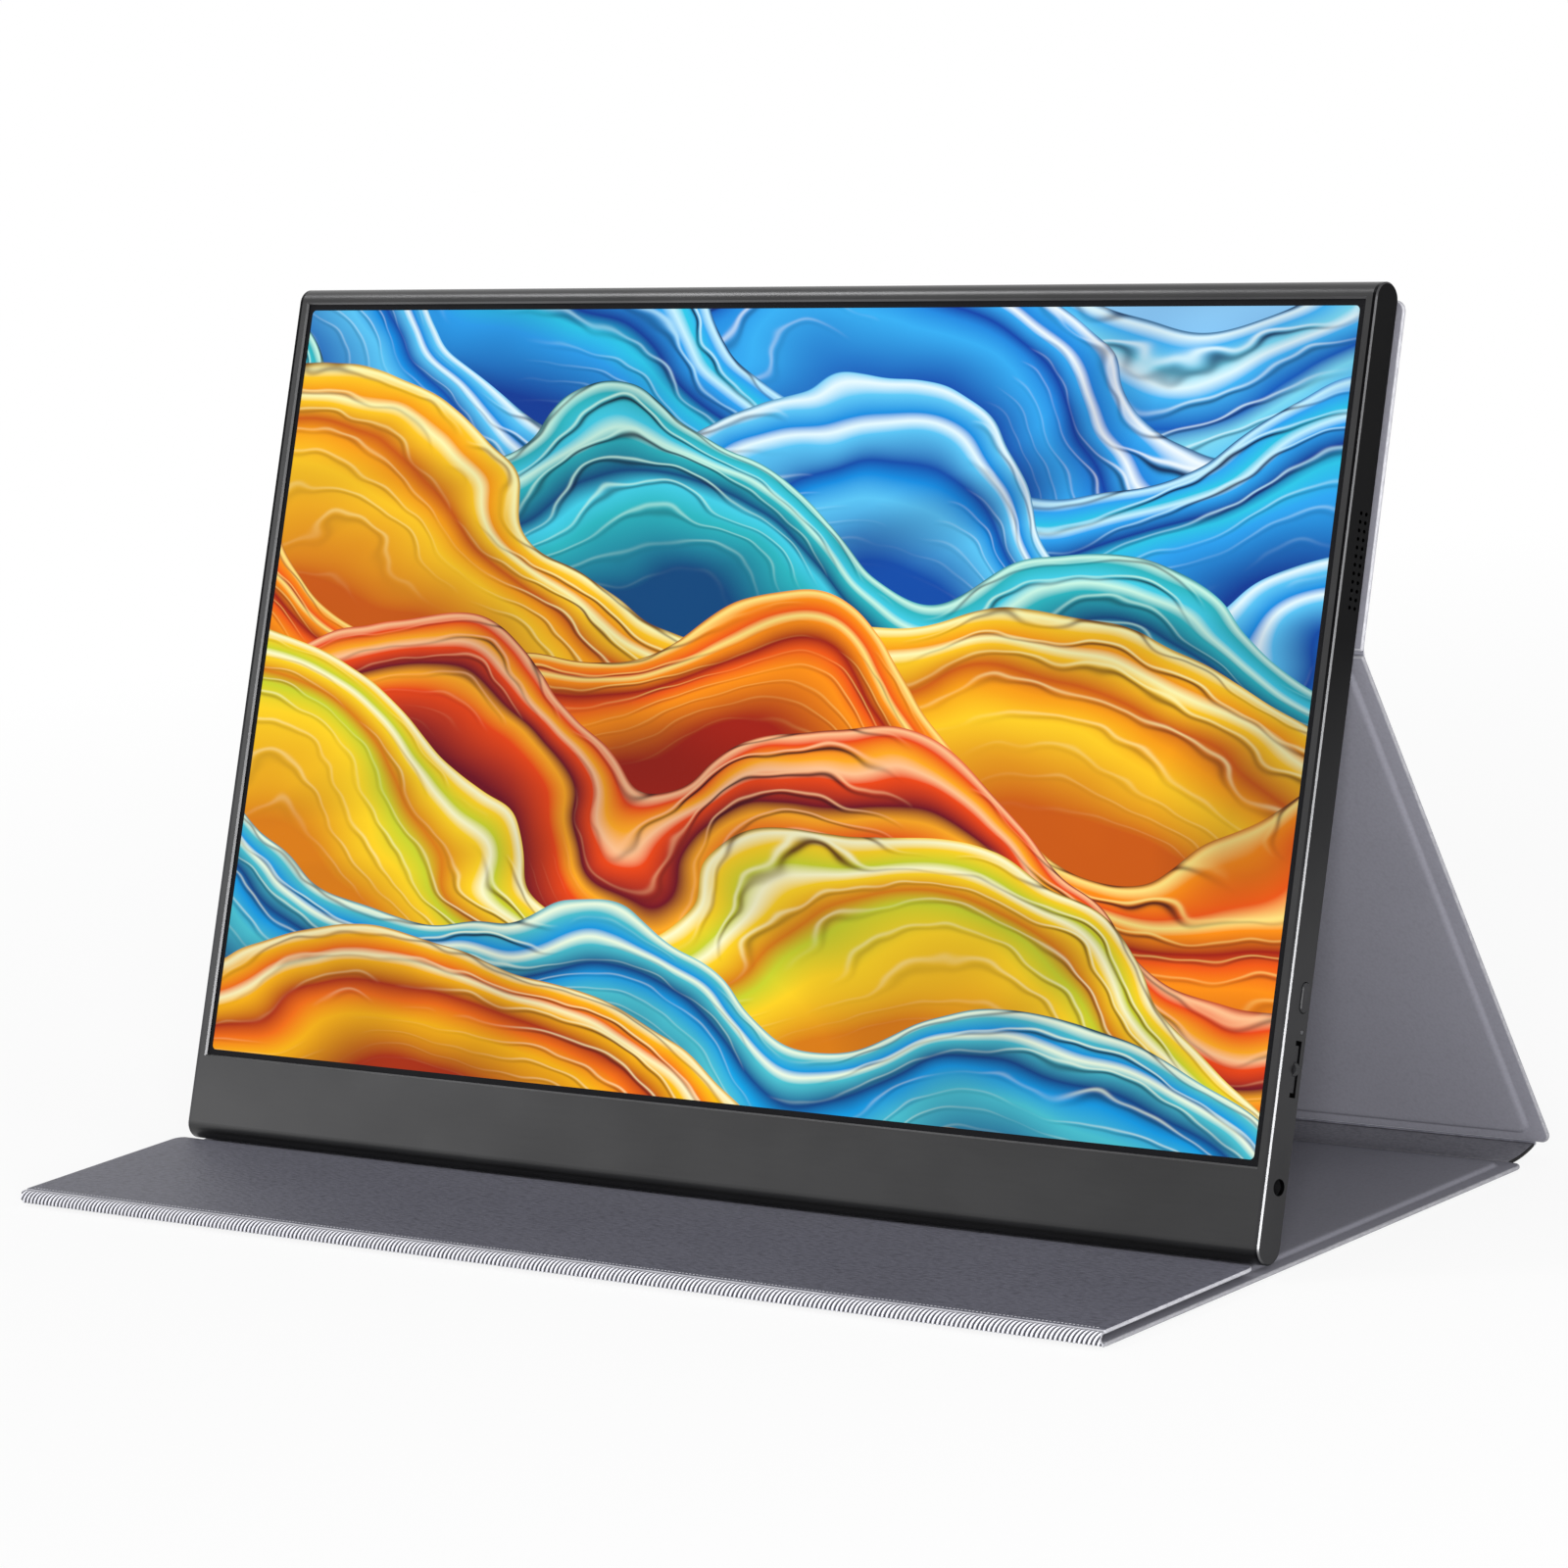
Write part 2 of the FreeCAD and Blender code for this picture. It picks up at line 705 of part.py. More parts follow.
def right_side():
    body = side_plate("right_side_plate", "inner_half")
    rod(body, "YZ_Plane", "jack_axis", "jack_height", "inner_half", "side_thickness", "jack_mouth",
        "SubtractiveCylinder")
    rod(body, "YZ_Plane", "lens_axis", "lens_height", "inner_half", "side_thickness",
        "lens_radius + lens_clearance", "SubtractiveCylinder")
    cut_through(body, "inner_half", lambda sketch: stadium(
        sketch, "key_axis", "power_height", "power_length + 2 * key_clearance",
        "power_width + 2 * key_clearance"))
    cut_through(body, "inner_half", lambda sketch: rectangle(
        sketch, "key_axis - menu_slot_width / 2", "key_axis + menu_slot_width / 2",
        "menu_height - menu_slot_length / 2", "menu_height + menu_slot_length / 2"))


def usb_outline(sketch, height, grow):
    stadium(sketch, "socket_axis", height, f"usb_width + 2 * ({grow})", f"usb_height + 2 * ({grow})")


def hdmi_outline(sketch, grow):
    """Flat socket outline whose two rear corners are cut off."""
    near = f"socket_axis - hdmi_height / 2 - ({grow})"
    far = f"socket_axis + hdmi_height / 2 + ({grow})"
    low = f"hdmi_middle - hdmi_width / 2 - ({grow})"
    high = f"hdmi_middle + hdmi_width / 2 + ({grow})"
    outline(sketch, [
        (near, low),
        (near, high),
        (f"{far} - hdmi_corner", high),
        (far, f"{high} - hdmi_corner"),
        (far, f"{low} + hdmi_corner"),
        (f"{far} - hdmi_corner", low),
    ])


def left_side():
    inner_face = "0 - half_width"
    body = side_plate("left_side_plate", inner_face)
    for height in ("usb_lower_height", "usb_upper_height"):
        cut_through(body, inner_face, lambda sketch: usb_outline(sketch, height, "fit_clearance"))
    cut_through(body, inner_face, lambda sketch: hdmi_outline(sketch, "fit_clearance"))


front_frame()
rear_cover()
right_side()
left_side()

plate = new_body("holding_plate", "display")
plate_low = "crease_height + holding_margin"
block(plate, "0 - cover_half + holding_margin", "cover_half - holding_margin", "body_depth",
      "body_depth + holding_thickness", plate_low, f"{plate_low} + holding_height")


# Display module, a stack of plates in a folded metal tray
def layer(name, half, low, high, front, back):
    body = new_body(name, "display")
    block(body, f"0 - ({half})", half, front, back, low, high)
    return body


layer("lcd_cell", "cell_half", "cell_bottom", "cell_top", "lip_thickness", "cell_back")
layer("diffuser_sheets", "stack_half", "stack_bottom", "stack_top", "cell_back", "sheets_back")
layer("light_guide", "stack_half", "guide_bottom", "stack_top", "sheets_back", "guide_back")
layer("reflector_sheet", "stack_half", "stack_bottom", "stack_top", "guide_back", "reflector_back")
tray = layer("panel_tray", "cell_half", "cell_bottom", "cell_top", "cell_back", "tray_back")
block(tray, "0 - cell_half + tray_wall", "cell_half - tray_wall", "cell_back", "reflector_back",
      "cell_bottom + tray_wall", "cell_top - tray_wall", "SubtractiveBox")

led_strip = new_body("led_strip", "display")
block(led_strip, "0 - stack_half", "stack_half", "sheets_back", "guide_back", "stack_bottom",
      "stack_bottom + led_board_thickness")
led_first = "0 - stack_half + led_end_margin"
led = block(led_strip, led_first, f"{led_first} + led_length", "sheets_back", "guide_back",
            "stack_bottom + led_board_thickness", "guide_bottom")
repeat(led_strip, [led], "X_Axis", "2 * stack_half - 2 * led_end_margin - led_length", "led_count")


# Electronics behind the tray
def main_board():
    body = new_body("main_board", "display")
    block(body, "main_board_left", "main_board_left + main_board_width", "circuit_front", "circuit_back",
          "main_board_bottom", "main_board_top")
    screws = new_body("board_screws", "display")
    for height in ("main_board_bottom + boss_inset", "main_board_top - boss_inset"):
        for across in ("main_board_left + boss_inset", "main_board_left + main_board_width - boss_inset"):
            prism(body, "XZ_Plane", across, height, "0 - circuit_back", "circuit_thickness",
                  "screw_radius + pin_clearance", "SubtractivePrism")
            prism(screws, "XZ_Plane", across, height, "0 - circuit_front", "screw_head_height",
                  "screw_head_radius")
            prism(screws, "XZ_Plane", across, height, "0 - circuit_front - screw_length", "screw_length",
                  "screw_radius")


def display_ribbon():
    """Flat cable from the main board's lower edge round the tray to the cell's lower edge."""
    body = new_body("display_ribbon", "display")
    left = "main_board_left + main_board_width / 2 - ribbon_width / 2"
    right = f"{left} + ribbon_width"
    low = "cell_bottom - fit_clearance - ribbon_thickness"
    block(body, left, right, "circuit_front", "circuit_front + ribbon_thickness", low, "main_board_bottom")
    block(body, left, right, "lip_thickness", "circuit_front", low, f"{low} + ribbon_thickness")


def socket(name, draw, height, width):
    """Open metal shell with a contact tongue, set back from the side plate's outer face."""
    body = new_body(name, "display")
    mouth = "0 - inner_half"
    sketch = new_sketch(body, "YZ_Plane", mouth)
    draw(sketch, "0")
    pad(body, sketch, "socket_depth")
    sketch = new_sketch(body, "YZ_Plane", mouth)
    draw(sketch, "0 - socket_wall")
    pocket(body, sketch, "socket_depth - socket_back")
    half = f"({width}) / 4"
    block(body, f"{mouth} + tongue_setback", f"{mouth} + socket_depth - socket_back",
          "socket_axis - tongue_thickness / 2", "socket_axis + tongue_thickness / 2",
          f"{height} - {half}", f"{height} + {half}")


def headphone_jack():
    body = new_body("headphone_jack", "display")
    block(body, "inner_half - jack_depth", "inner_half", "jack_axis - jack_half", "jack_axis + jack_half",
          "jack_height - jack_half", "jack_height + jack_half")
    rod(body, "YZ_Plane", "jack_axis", "jack_height", "inner_half - jack_depth + jack_end_wall",
        "jack_depth - jack_end_wall", "jack_bore", "SubtractiveCylinder")


main_board()
display_ribbon()
socket("usb_socket_lower", lambda sketch, grow: usb_outline(sketch, "usb_lower_height", grow),
       "usb_lower_height", "usb_width")
socket("usb_socket_upper", lambda sketch, grow: usb_outline(sketch, "usb_upper_height", grow),
       "usb_upper_height", "usb_width")
socket("hdmi_socket", hdmi_outline, "hdmi_middle", "hdmi_width")
headphone_jack()


# Keys on the right side
def power_key():
    button = new_body("power_button", "display")
    sketch = new_sketch(button, "YZ_Plane", "power_inner + power_flange_thickness")
    stadium(sketch, "key_axis", "power_height", "power_length", "power_width")
    pad(button, sketch, "half_width + power_proud - power_inner - power_flange_thickness")
    crown = value("half_width + power_proud")
    names = local_edges(button, lambda middle, run: near_to(middle.x, crown))
    dress(button, "Chamfer", names, "power_proud - fit_clearance")
    sketch = new_sketch(button, "YZ_Plane", "power_inner")
    stadium(sketch, "key_axis", "power_height", "power_length + 2 * power_flange",
            "power_width + 2 * power_flange")
    pad(button, sketch, "power_flange_thickness")

    switch = new_body("power_switch", "display")
    stem = "key_board_face + switch_depth"
    block(switch, "key_board_face", stem, "key_axis - switch_width / 2", "key_axis + switch_width / 2",
          "power_height - switch_length / 2", "power_height + switch_length / 2")
    rod(switch, "YZ_Plane", "key_axis", "power_height", stem, f"power_inner - plunger_gap - ({stem})",
        "plunger_radius")


def menu_key():
    """Jog lever: a blade behind the slot with a pointed tab, on a pin in a carrier that slides in."""
    face = "half_width"
    lever = new_body("menu_lever", "display")
    sketch = new_sketch(lever, "XZ_Plane", "0 - key_axis - lever_thickness / 2")
    blade_out = f"{face} - lever_setback"
    blade_in = f"{blade_out} - lever_blade_thickness"
    outline(sketch, [
        (blade_in, "menu_height - lever_blade / 2"),
        (blade_in, "menu_height - lever_stem / 2"),
        ("pivot_x", "menu_height - lever_stem / 2"),
        ("pivot_x", "menu_height + lever_stem / 2"),
        (blade_in, "menu_height + lever_stem / 2"),
        (blade_in, "menu_height + lever_blade / 2"),
        (blade_out, "menu_height + lever_blade / 2"),
        (blade_out, "menu_height + lever_tab_base / 2"),
        (f"{face} + lever_proud", "menu_height + lever_tip / 2"),
        (f"{face} + lever_proud", "menu_height - lever_tip / 2"),
        (blade_out, "menu_height - lever_tab_base / 2"),
        (blade_out, "menu_height - lever_blade / 2"),
    ])
    pad(lever, sketch, "lever_thickness")
    low = "0 - key_axis - lever_thickness / 2"
    rod(lever, "XZ_Plane", "pivot_x", "menu_height", low, "lever_thickness", "lever_hub_radius")
    rod(lever, "XZ_Plane", "pivot_x", "menu_height", low, "lever_thickness", "pin_radius + pin_clearance",
        "SubtractiveCylinder")

    carrier = new_body("menu_carrier", "display")
    near = "key_axis - lever_thickness / 2 - cheek_gap - cheek_thickness"
    far = "key_axis + lever_thickness / 2 + cheek_gap + cheek_thickness"
    low = "menu_height - carrier_half"
    high = "menu_height + carrier_half"
    front = "pivot_x + lever_hub_radius"
    block(carrier, "carrier_inner", "carrier_inner + carrier_back", near, far, low, high)
    block(carrier, "carrier_inner", front, near, f"{near} + cheek_thickness", low, high)
    block(carrier, "carrier_inner", front, f"{far} - cheek_thickness", far, low, high)
    rod(carrier, "XZ_Plane", "pivot_x", "menu_height", f"0 - ({far})", f"({far}) - ({near})", "pin_radius")

    switch = new_body("menu_switch", "display")
    block(switch, "key_board_face", "key_board_face + switch_depth", "key_axis - switch_width / 2",
          "key_axis + switch_width / 2", low, high)


def key_board():
    body = new_body("key_board", "display")
    block(body, "key_board_face - circuit_thickness", "key_board_face", "tray_back + fit_clearance",
          "split - fit_clearance", "key_board_bottom", "key_board_top")


def status_lens():
    body = new_body("status_lens", "display")
    rod(body, "YZ_Plane", "lens_axis", "lens_height", "inner_half", "side_thickness", "lens_radius")


def speaker(name, left, mouth_at):
    """Slim box speaker whose slotted mouth faces the side plate's holes."""
    body = new_body(name, "display")
    near = "tray_back + fit_clearance"
    far = "split - fit_clearance"
    block(body, left, f"{left} + speaker_width", near, far, "speaker_middle - speaker_length / 2",
          "speaker_middle + speaker_length / 2")
    names = local_edges(body, lambda middle, run: near_to(run.x, 0) and near_to(run.z, 0))
    dress(body, "Fillet", names, "speaker_corner")
    block(body, mouth_at, f"{mouth_at} + speaker_mouth", "speaker_row_front - speaker_hole_radius",
          "speaker_row_back + speaker_hole_radius", "speaker_bottom - speaker_hole_radius",
          "speaker_top + speaker_hole_radius", "SubtractiveBox")


power_key()
menu_key()
key_board()
status_lens()
speaker("speaker_right", "inner_half - speaker_width", "inner_half - speaker_mouth")
speaker("speaker_left", "0 - inner_half", "0 - inner_half")

# Check every object, then write one file for each piece
doc.recompute()
for item in doc.Objects:
    if "Invalid" in item.State or "Error" in item.State:
        raise RuntimeError(f"{item.Label} failed: {item.State}")
os.makedirs("parts", exist_ok=True)
for piece in pieces:
    shape = piece.Shape
    if shape.isNull() or not shape.isValid() or not shape.Solids:
        raise RuntimeError(f"{piece.Label} has no valid solid")
    shape.exportStep(f"parts/{piece.Label}.step")
print(len(pieces), "pieces written")
for name in ("foot_y", "foot_z", "hinge_y", "hinge_z", "leg_foot_y", "leg_foot_z", "leg_turn"):
    print(name, round(value(name), 3))
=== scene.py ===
import bpy
import json
import math
from mathutils import Matrix, Vector

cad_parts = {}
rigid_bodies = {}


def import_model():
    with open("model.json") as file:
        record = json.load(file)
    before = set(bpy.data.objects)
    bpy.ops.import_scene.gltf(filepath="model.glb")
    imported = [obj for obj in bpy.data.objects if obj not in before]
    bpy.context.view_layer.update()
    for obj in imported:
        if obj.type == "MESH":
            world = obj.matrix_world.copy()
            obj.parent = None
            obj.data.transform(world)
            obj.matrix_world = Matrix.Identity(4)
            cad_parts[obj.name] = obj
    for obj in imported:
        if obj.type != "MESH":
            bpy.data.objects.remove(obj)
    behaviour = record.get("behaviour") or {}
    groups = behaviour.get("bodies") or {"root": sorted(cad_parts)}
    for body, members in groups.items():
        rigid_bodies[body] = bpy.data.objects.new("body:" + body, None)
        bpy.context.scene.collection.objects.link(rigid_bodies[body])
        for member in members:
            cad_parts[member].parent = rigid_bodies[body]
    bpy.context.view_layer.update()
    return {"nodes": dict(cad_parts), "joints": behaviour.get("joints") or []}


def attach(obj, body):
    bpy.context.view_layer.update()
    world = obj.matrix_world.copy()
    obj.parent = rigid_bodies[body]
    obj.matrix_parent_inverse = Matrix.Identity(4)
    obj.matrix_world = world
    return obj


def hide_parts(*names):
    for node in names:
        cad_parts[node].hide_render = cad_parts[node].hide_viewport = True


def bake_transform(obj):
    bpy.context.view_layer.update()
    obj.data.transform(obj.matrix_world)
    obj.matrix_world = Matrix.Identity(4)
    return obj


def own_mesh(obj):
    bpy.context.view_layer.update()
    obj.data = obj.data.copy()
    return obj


for item in list(bpy.context.scene.objects):  # an empty stage
    bpy.data.objects.remove(item)
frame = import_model()
nodes = frame["nodes"]
mm = 0.001


class Wire:  # one output socket; sums on it add Math nodes
    def __init__(self, paint, socket):
        self.paint = paint
        self.socket = socket

    def maths(self, operation, first, second=0.0):
        return self.paint.node("ShaderNodeMath", {"operation": operation}, {0: first, 1: second})

    def beside(self, name):  # another output of the same node
        return Wire(self.paint, self.socket.node.outputs[name])

    def __add__(self, other):
        return self.maths("ADD", self, other)

    def __radd__(self, other):
        return self.maths("ADD", other, self)

    def __sub__(self, other):
        return self.maths("SUBTRACT", self, other)

    def __rsub__(self, other):
        return self.maths("SUBTRACT", other, self)

    def __mul__(self, other):
        return self.maths("MULTIPLY", self, other)

    def __rmul__(self, other):
        return self.maths("MULTIPLY", other, self)

    def __truediv__(self, other):
        return self.maths("DIVIDE", self, other)

    def __pow__(self, other):
        return self.maths("POWER", self, other)

    def sine(self):
        return self.maths("SINE", self)

    def size(self):
        return self.maths("ABSOLUTE", self)

    def held(self):  # kept between 0 and 1
        return self.paint.node("ShaderNodeClamp", {}, {"Value": self})

    def swung(self, amount):  # noise as a swing about nought
        return (self - 0.5) * amount

    def mixed(self, other, share):
        return self * (1 - share) + other * share

    def graded(self, rate, start):  # a straight line, kept between 0 and 1
        return (self * rate + start).held()

    def between(self, low, high):  # 0 at low, 1 at high
        return ((self - low) / (high - low)).held()


class Paint:  # a material's or the world's nodes, and the one method that adds them
    def __init__(self, block):
        block.use_nodes = True
        self.block = block
        self.tree = block.node_tree

    def node(self, kind, settings, sockets, out=0):
        made = self.tree.nodes.new(kind)
        for name, setting in settings.items():
            if name == "stops":
                elements = made.color_ramp.elements
                elements.remove(elements[1])
                for index, (place, colour) in enumerate(setting):
                    stop = elements[0] if index == 0 else elements.new(place)
                    stop.position = place
                    stop.color = (*colour, 1.0)
            else:
                setattr(made, name, setting)
        self.feed(made, sockets)
        return Wire(self, made.outputs[out])

    def feed(self, made, sockets):
        for name, value in sockets.items():
            socket = made.inputs[name]
            if isinstance(value, Wire):
                self.tree.links.new(value.socket, socket)
            elif socket.type == "RGBA":
                socket.default_value = (*value, 1.0)
            else:
                socket.default_value = value

    def finish(self, **sockets):  # Base_Color stands for Base Color
        shader = self.tree.nodes["Principled BSDF"]
        self.feed(shader, {name.replace("_", " "): value for name, value in sockets.items()})
        return self.block

    def spot(self, size):  # object coordinates counted in cells of size millimetres
        place = self.node("ShaderNodeTexCoord", {}, {}, "Object")
        cells = tuple(1 / (step * mm) for step in size)
        return self.node("ShaderNodeVectorMath", {"operation": "MULTIPLY"}, {0: place, 1: cells})

    def noise(self, size, detail=2.0, roughness=0.5):
        where = self.spot(size)
        return self.node("ShaderNodeTexNoise", {}, {
            "Vector": where, "Scale": 1.0, "Detail": detail, "Roughness": roughness})

    def ramp(self, value, stops):
        return self.node("ShaderNodeValToRGB", {"stops": stops}, {0: value})

    def blend(self, share, first, second, kind="MIX"):
        settings = {"data_type": "RGBA", "blend_type": kind}
        return self.node("ShaderNodeMix", settings, {0: share, 6: first, 7: second}, 2)

    def bump(self, height, depth, **more):
        sockets = {"Height": height, "Distance": depth * mm, "Strength": 1.0}
        return self.node("ShaderNodeBump", {}, sockets | more)

    def seen(self):  # 1 for rays from the camera, a reflection or clear glass
        camera = self.node("ShaderNodeLightPath", {}, {}, "Is Camera Ray")
        return (camera + camera.beside("Is Glossy Ray") + camera.beside("Is Transmission Ray")).held()


def newPaint(name):
    return Paint(bpy.data.materials.new(name))


# Leather-look sheet: pebbled outside, pressed smooth inside; cells and depths in millimetres
leather = {
    "outside": {
        "valley": (0.057, 0.057, 0.075), "colour": (0.092, 0.092, 0.119), "pale": (0.119, 0.119, 0.151),
        "grain": (2.0, 0.66, 0.66), "depth": 0.16, "roughness": 0.56, "shine": 0.5},
    "inside": {
        "valley": (0.164, 0.163, 0.189), "colour": (0.176, 0.175, 0.203), "pale": (0.186, 0.185, 0.214),
        "grain": (0.7, 0.7, 0.7), "depth": 0.012, "roughness": 0.7, "shine": 0.06},
    # spine: leather darkened as painted shade of the crease between base and leg
    "spine": {
        "valley": (0.048, 0.047, 0.057), "colour": (0.064, 0.063, 0.075), "pale": (0.079, 0.078, 0.091),
        "grain": (1.2, 0.6, 0.6), "depth": 0.1, "roughness": 0.6, "shine": 0.5},
}
leatherForm = {
    "wander": (4.0, 2.4, 2.4), "smoothness": 0.6, "stops": (0.18, 0.5, 0.86),
    "pore": (0.28, 0.2, 0.2), "poreShare": 0.25, "poreGloss": 0.16,
    "cloud": (46.0, 30.0, 30.0), "cloudGloss": 0.12, "swell": (60.0, 34.0, 34.0), "swellDepth": 0.3,
    "worn": [(0.3, (0.95, 0.95, 0.95)), (0.7, (1.0, 1.0, 1.0))],
}


def leatherPaint(name, look):
    form = leatherForm
    paint = newPaint(name)
    wander = paint.noise(form["wander"], 3.0)
    cells = paint.node("ShaderNodeVectorMath", {"operation": "ADD"}, {
        0: paint.spot(look["grain"]), 1: wander.beside("Color")})
    pebble = paint.node("ShaderNodeTexVoronoi", {"feature": "SMOOTH_F1"}, {
        "Vector": cells, "Scale": 1.0, "Smoothness": form["smoothness"]})
    pore = paint.noise(form["pore"])
    cloud = paint.noise(form["cloud"], 3.0)
    height = (1.0 - pebble).mixed(pore, form["poreShare"])
    tone = paint.ramp(height, zip(form["stops"], (look["valley"], look["colour"], look["pale"])))
    worn = paint.ramp(cloud, form["worn"])
    swell = paint.bump(paint.noise(form["swell"], 1.0), form["swellDepth"])
    return paint.finish(
        Base_Color=paint.blend(1.0, tone, worn, "MULTIPLY"),
        Roughness=look["roughness"] + pore.swung(form["poreGloss"]) + cloud.swung(form["cloudGloss"]),
        Normal=paint.bump(height, look["depth"], Normal=swell), Specular_IOR_Level=look["shine"])


# Painted cut edges with the layers' fine streaks, pale on the flap; on base and leg a greyer copy of the
# same edge paint, darkened as painted shade
edges = {
    "edge": {"dark": (0.27, 0.27, 0.30), "colour": (0.42, 0.42, 0.45), "roughness": 0.46},
    # the same cut edge darkened: painted shade for base and leg
    "greyEdge": {"dark": (0.18, 0.18, 0.20), "colour": (0.28, 0.28, 0.30), "roughness": 0.52},
}
edgeForm = {"streak": (7.0, 2.0, 0.5), "fibre": (0.4, 0.4, 0.25), "fibreShare": 0.4, "stops": (0.3, 0.62),
            "gloss": 0.2, "depth": 0.05}


def edgePaint(name, look):
    form = edgeForm
    paint = newPaint(name)
    streak = paint.noise(form["streak"], 3.0)
    fibre = paint.noise(form["fibre"])
    layers = streak.mixed(fibre, form["fibreShare"])
    tone = paint.ramp(layers, zip(form["stops"], (look["dark"], look["colour"])))
    return paint.finish(
        Base_Color=tone, Roughness=look["roughness"] + fibre.swung(form["gloss"]),
        Normal=paint.bump(fibre, form["depth"]))


# Dark satin metal with a fine blasted surface; on the side plates and bevels the colour darkens to the top
# colour between two heights, a painted reflection, paler low down and dark above
metal = {
    "housing": {"deep": (0.041, 0.041, 0.042), "colour": (0.050, 0.050, 0.051),
                "roughness": 0.30, "metallic": 0.9},
    # side and bevel: top colour and heights of a painted reflection that darkens up the plate
    "side": {"deep": (0.038, 0.038, 0.040), "colour": (0.048, 0.048, 0.050),
             "roughness": 0.32, "metallic": 1.0, "top": (0.004, 0.004, 0.0045), "fall": (60.0, 135.0)},
    "bevel": {"deep": (0.10, 0.10, 0.103), "colour": (0.125, 0.125, 0.128),
              "roughness": 0.36, "metallic": 1.0, "top": (0.06, 0.06, 0.062), "fall": (50.0, 150.0)},
    "window": {"deep": (0.12, 0.12, 0.123), "colour": (0.15, 0.15, 0.153),
               "roughness": 0.30, "metallic": 1.0},
    "shell": {"deep": (0.40, 0.40, 0.41), "colour": (0.56, 0.56, 0.57),
              "roughness": 0.30, "metallic": 1.0},
    "sheet": {"deep": (0.36, 0.36, 0.37), "colour": (0.46, 0.46, 0.47),
              "roughness": 0.42, "metallic": 1.0},
}
metalForm = {"blast": (0.09, 0.09, 0.09), "blastGloss": 0.10, "depth": 0.004, "cloud": (38.0, 24.0, 24.0),
             "rub": (9.0, 1.1, 1.1), "rubShare": 0.15, "rubGloss": 0.04, "stops": (0.32, 0.64)}


def metalPaint(name, look):
    form = metalForm
    paint = newPaint(name)
    blast = paint.noise(form["blast"])
    cloud = paint.noise(form["cloud"])
    rub = paint.noise(form["rub"], 4.0, 0.6)
    worn = cloud.mixed(rub, form["rubShare"])
    tone = paint.ramp(worn, zip(form["stops"], (look["deep"], look["colour"])))
    # painted reflection: the colour fades to the dark top colour between the given heights
    if "fall" in look:
        height = paint.node("ShaderNodeSeparateXYZ", {}, {"Vector": paint.spot((1.0, 1.0, 1.0))}, "Z")
        tone = paint.blend(height.between(*look["fall"]), tone, look["top"])
    return paint.finish(
        Base_Color=tone, Metallic=look["metallic"],
        Roughness=look["roughness"] + blast.swung(form["blastGloss"]) + rub.swung(form["rubGloss"]),
        Normal=paint.bump(blast, form["depth"]))


# Moulded plastics, films and boards
plastic = {
    "key": {"deep": (0.012, 0.012, 0.013), "colour": (0.020, 0.020, 0.022),
            "roughness": 0.34, "grain": 0.12, "shine": 0.2},
    "black": {"deep": (0.002, 0.002, 0.0025), "colour": (0.005, 0.005, 0.0055),
              "roughness": 0.6, "grain": 0.2, "shine": 0.2},
    "glass": {"deep": (0.002, 0.002, 0.003), "colour": (0.004, 0.004, 0.005),
              "roughness": 0.5, "grain": 0.5, "shine": 0.08},
    "lens": {"deep": (0.020, 0.020, 0.024), "colour": (0.060, 0.060, 0.066),
             "roughness": 0.18, "grain": 0.3, "shine": 0.5},
    "film": {"deep": (0.70, 0.71, 0.73), "colour": (0.80, 0.81, 0.82),
             "roughness": 0.35, "grain": 3.0, "shine": 0.5},
    "ribbon": {"deep": (0.24, 0.12, 0.03), "colour": (0.36, 0.20, 0.06),
               "roughness": 0.4, "grain": 0.6, "shine": 0.5},
    "circuit": {"deep": (0.008, 0.060, 0.030), "colour": (0.020, 0.130, 0.060),
                "roughness": 0.42, "grain": 2.2, "shine": 0.5},
}
plasticForm = {"cloud": (18.0, 14.0, 14.0), "cloudShare": 0.5, "stops": (0.34, 0.62),
               "gloss": 0.16, "depth": 0.01}


def plasticPaint(name, look):
    form = plasticForm
    paint = newPaint(name)
    grain = paint.noise((look["grain"],) * 3, 3.0)
    cloud = paint.noise(form["cloud"])
    mottle = grain.mixed(cloud, form["cloudShare"])
    tone = paint.ramp(mottle, zip(form["stops"], (look["deep"], look["colour"])))
    return paint.finish(
        Base_Color=tone, Roughness=look["roughness"] + grain.swung(form["gloss"]),
        Normal=paint.bump(grain, form["depth"]), Specular_IOR_Level=look["shine"])


finish = {}
for prefix, looks, mixPaint in (("cover", edges, edgePaint), ("leather", leather, leatherPaint),
                                ("metal", metal, metalPaint), ("plastic", plastic, plasticPaint)):
    for key, look in looks.items():
        finish[key] = mixPaint(prefix + key.title(), look)
print("finishes mixed:", len(finish))

# Where the carried groups stand, from the joints; lengths in millimetres, turns about X in degrees
tent = {"lean": 20.5, "hingeDepth": 10.1, "hingeHeight": 139.0, "axisDepth": 0.5}
pivots = {joint["name"]: Vector(joint["pos_m"]) / mm for joint in frame["joints"] if "pos_m" in joint}
rear = pivots["rear_crease_fold"].yz
foot = pivots["leg_crease_fold"].yz
hinge = pivots["stand_fold"].yz
front = pivots["flap_fold"].yz


def heading(angle):  # along a panel, and out of its outer face, in the YZ plane
    turn = math.radians(angle)
    return Vector((math.cos(turn), math.sin(turn))), Vector((math.sin(turn), -math.cos(turn)))


def slope(run):
    return math.degrees(math.atan2(run.y, run.x))


def carrier(turn, corner):
    place = Matrix.Translation((0, corner.x * mm, corner.y * mm))
    return place @ Matrix.Rotation(math.radians(turn), 4, "X")


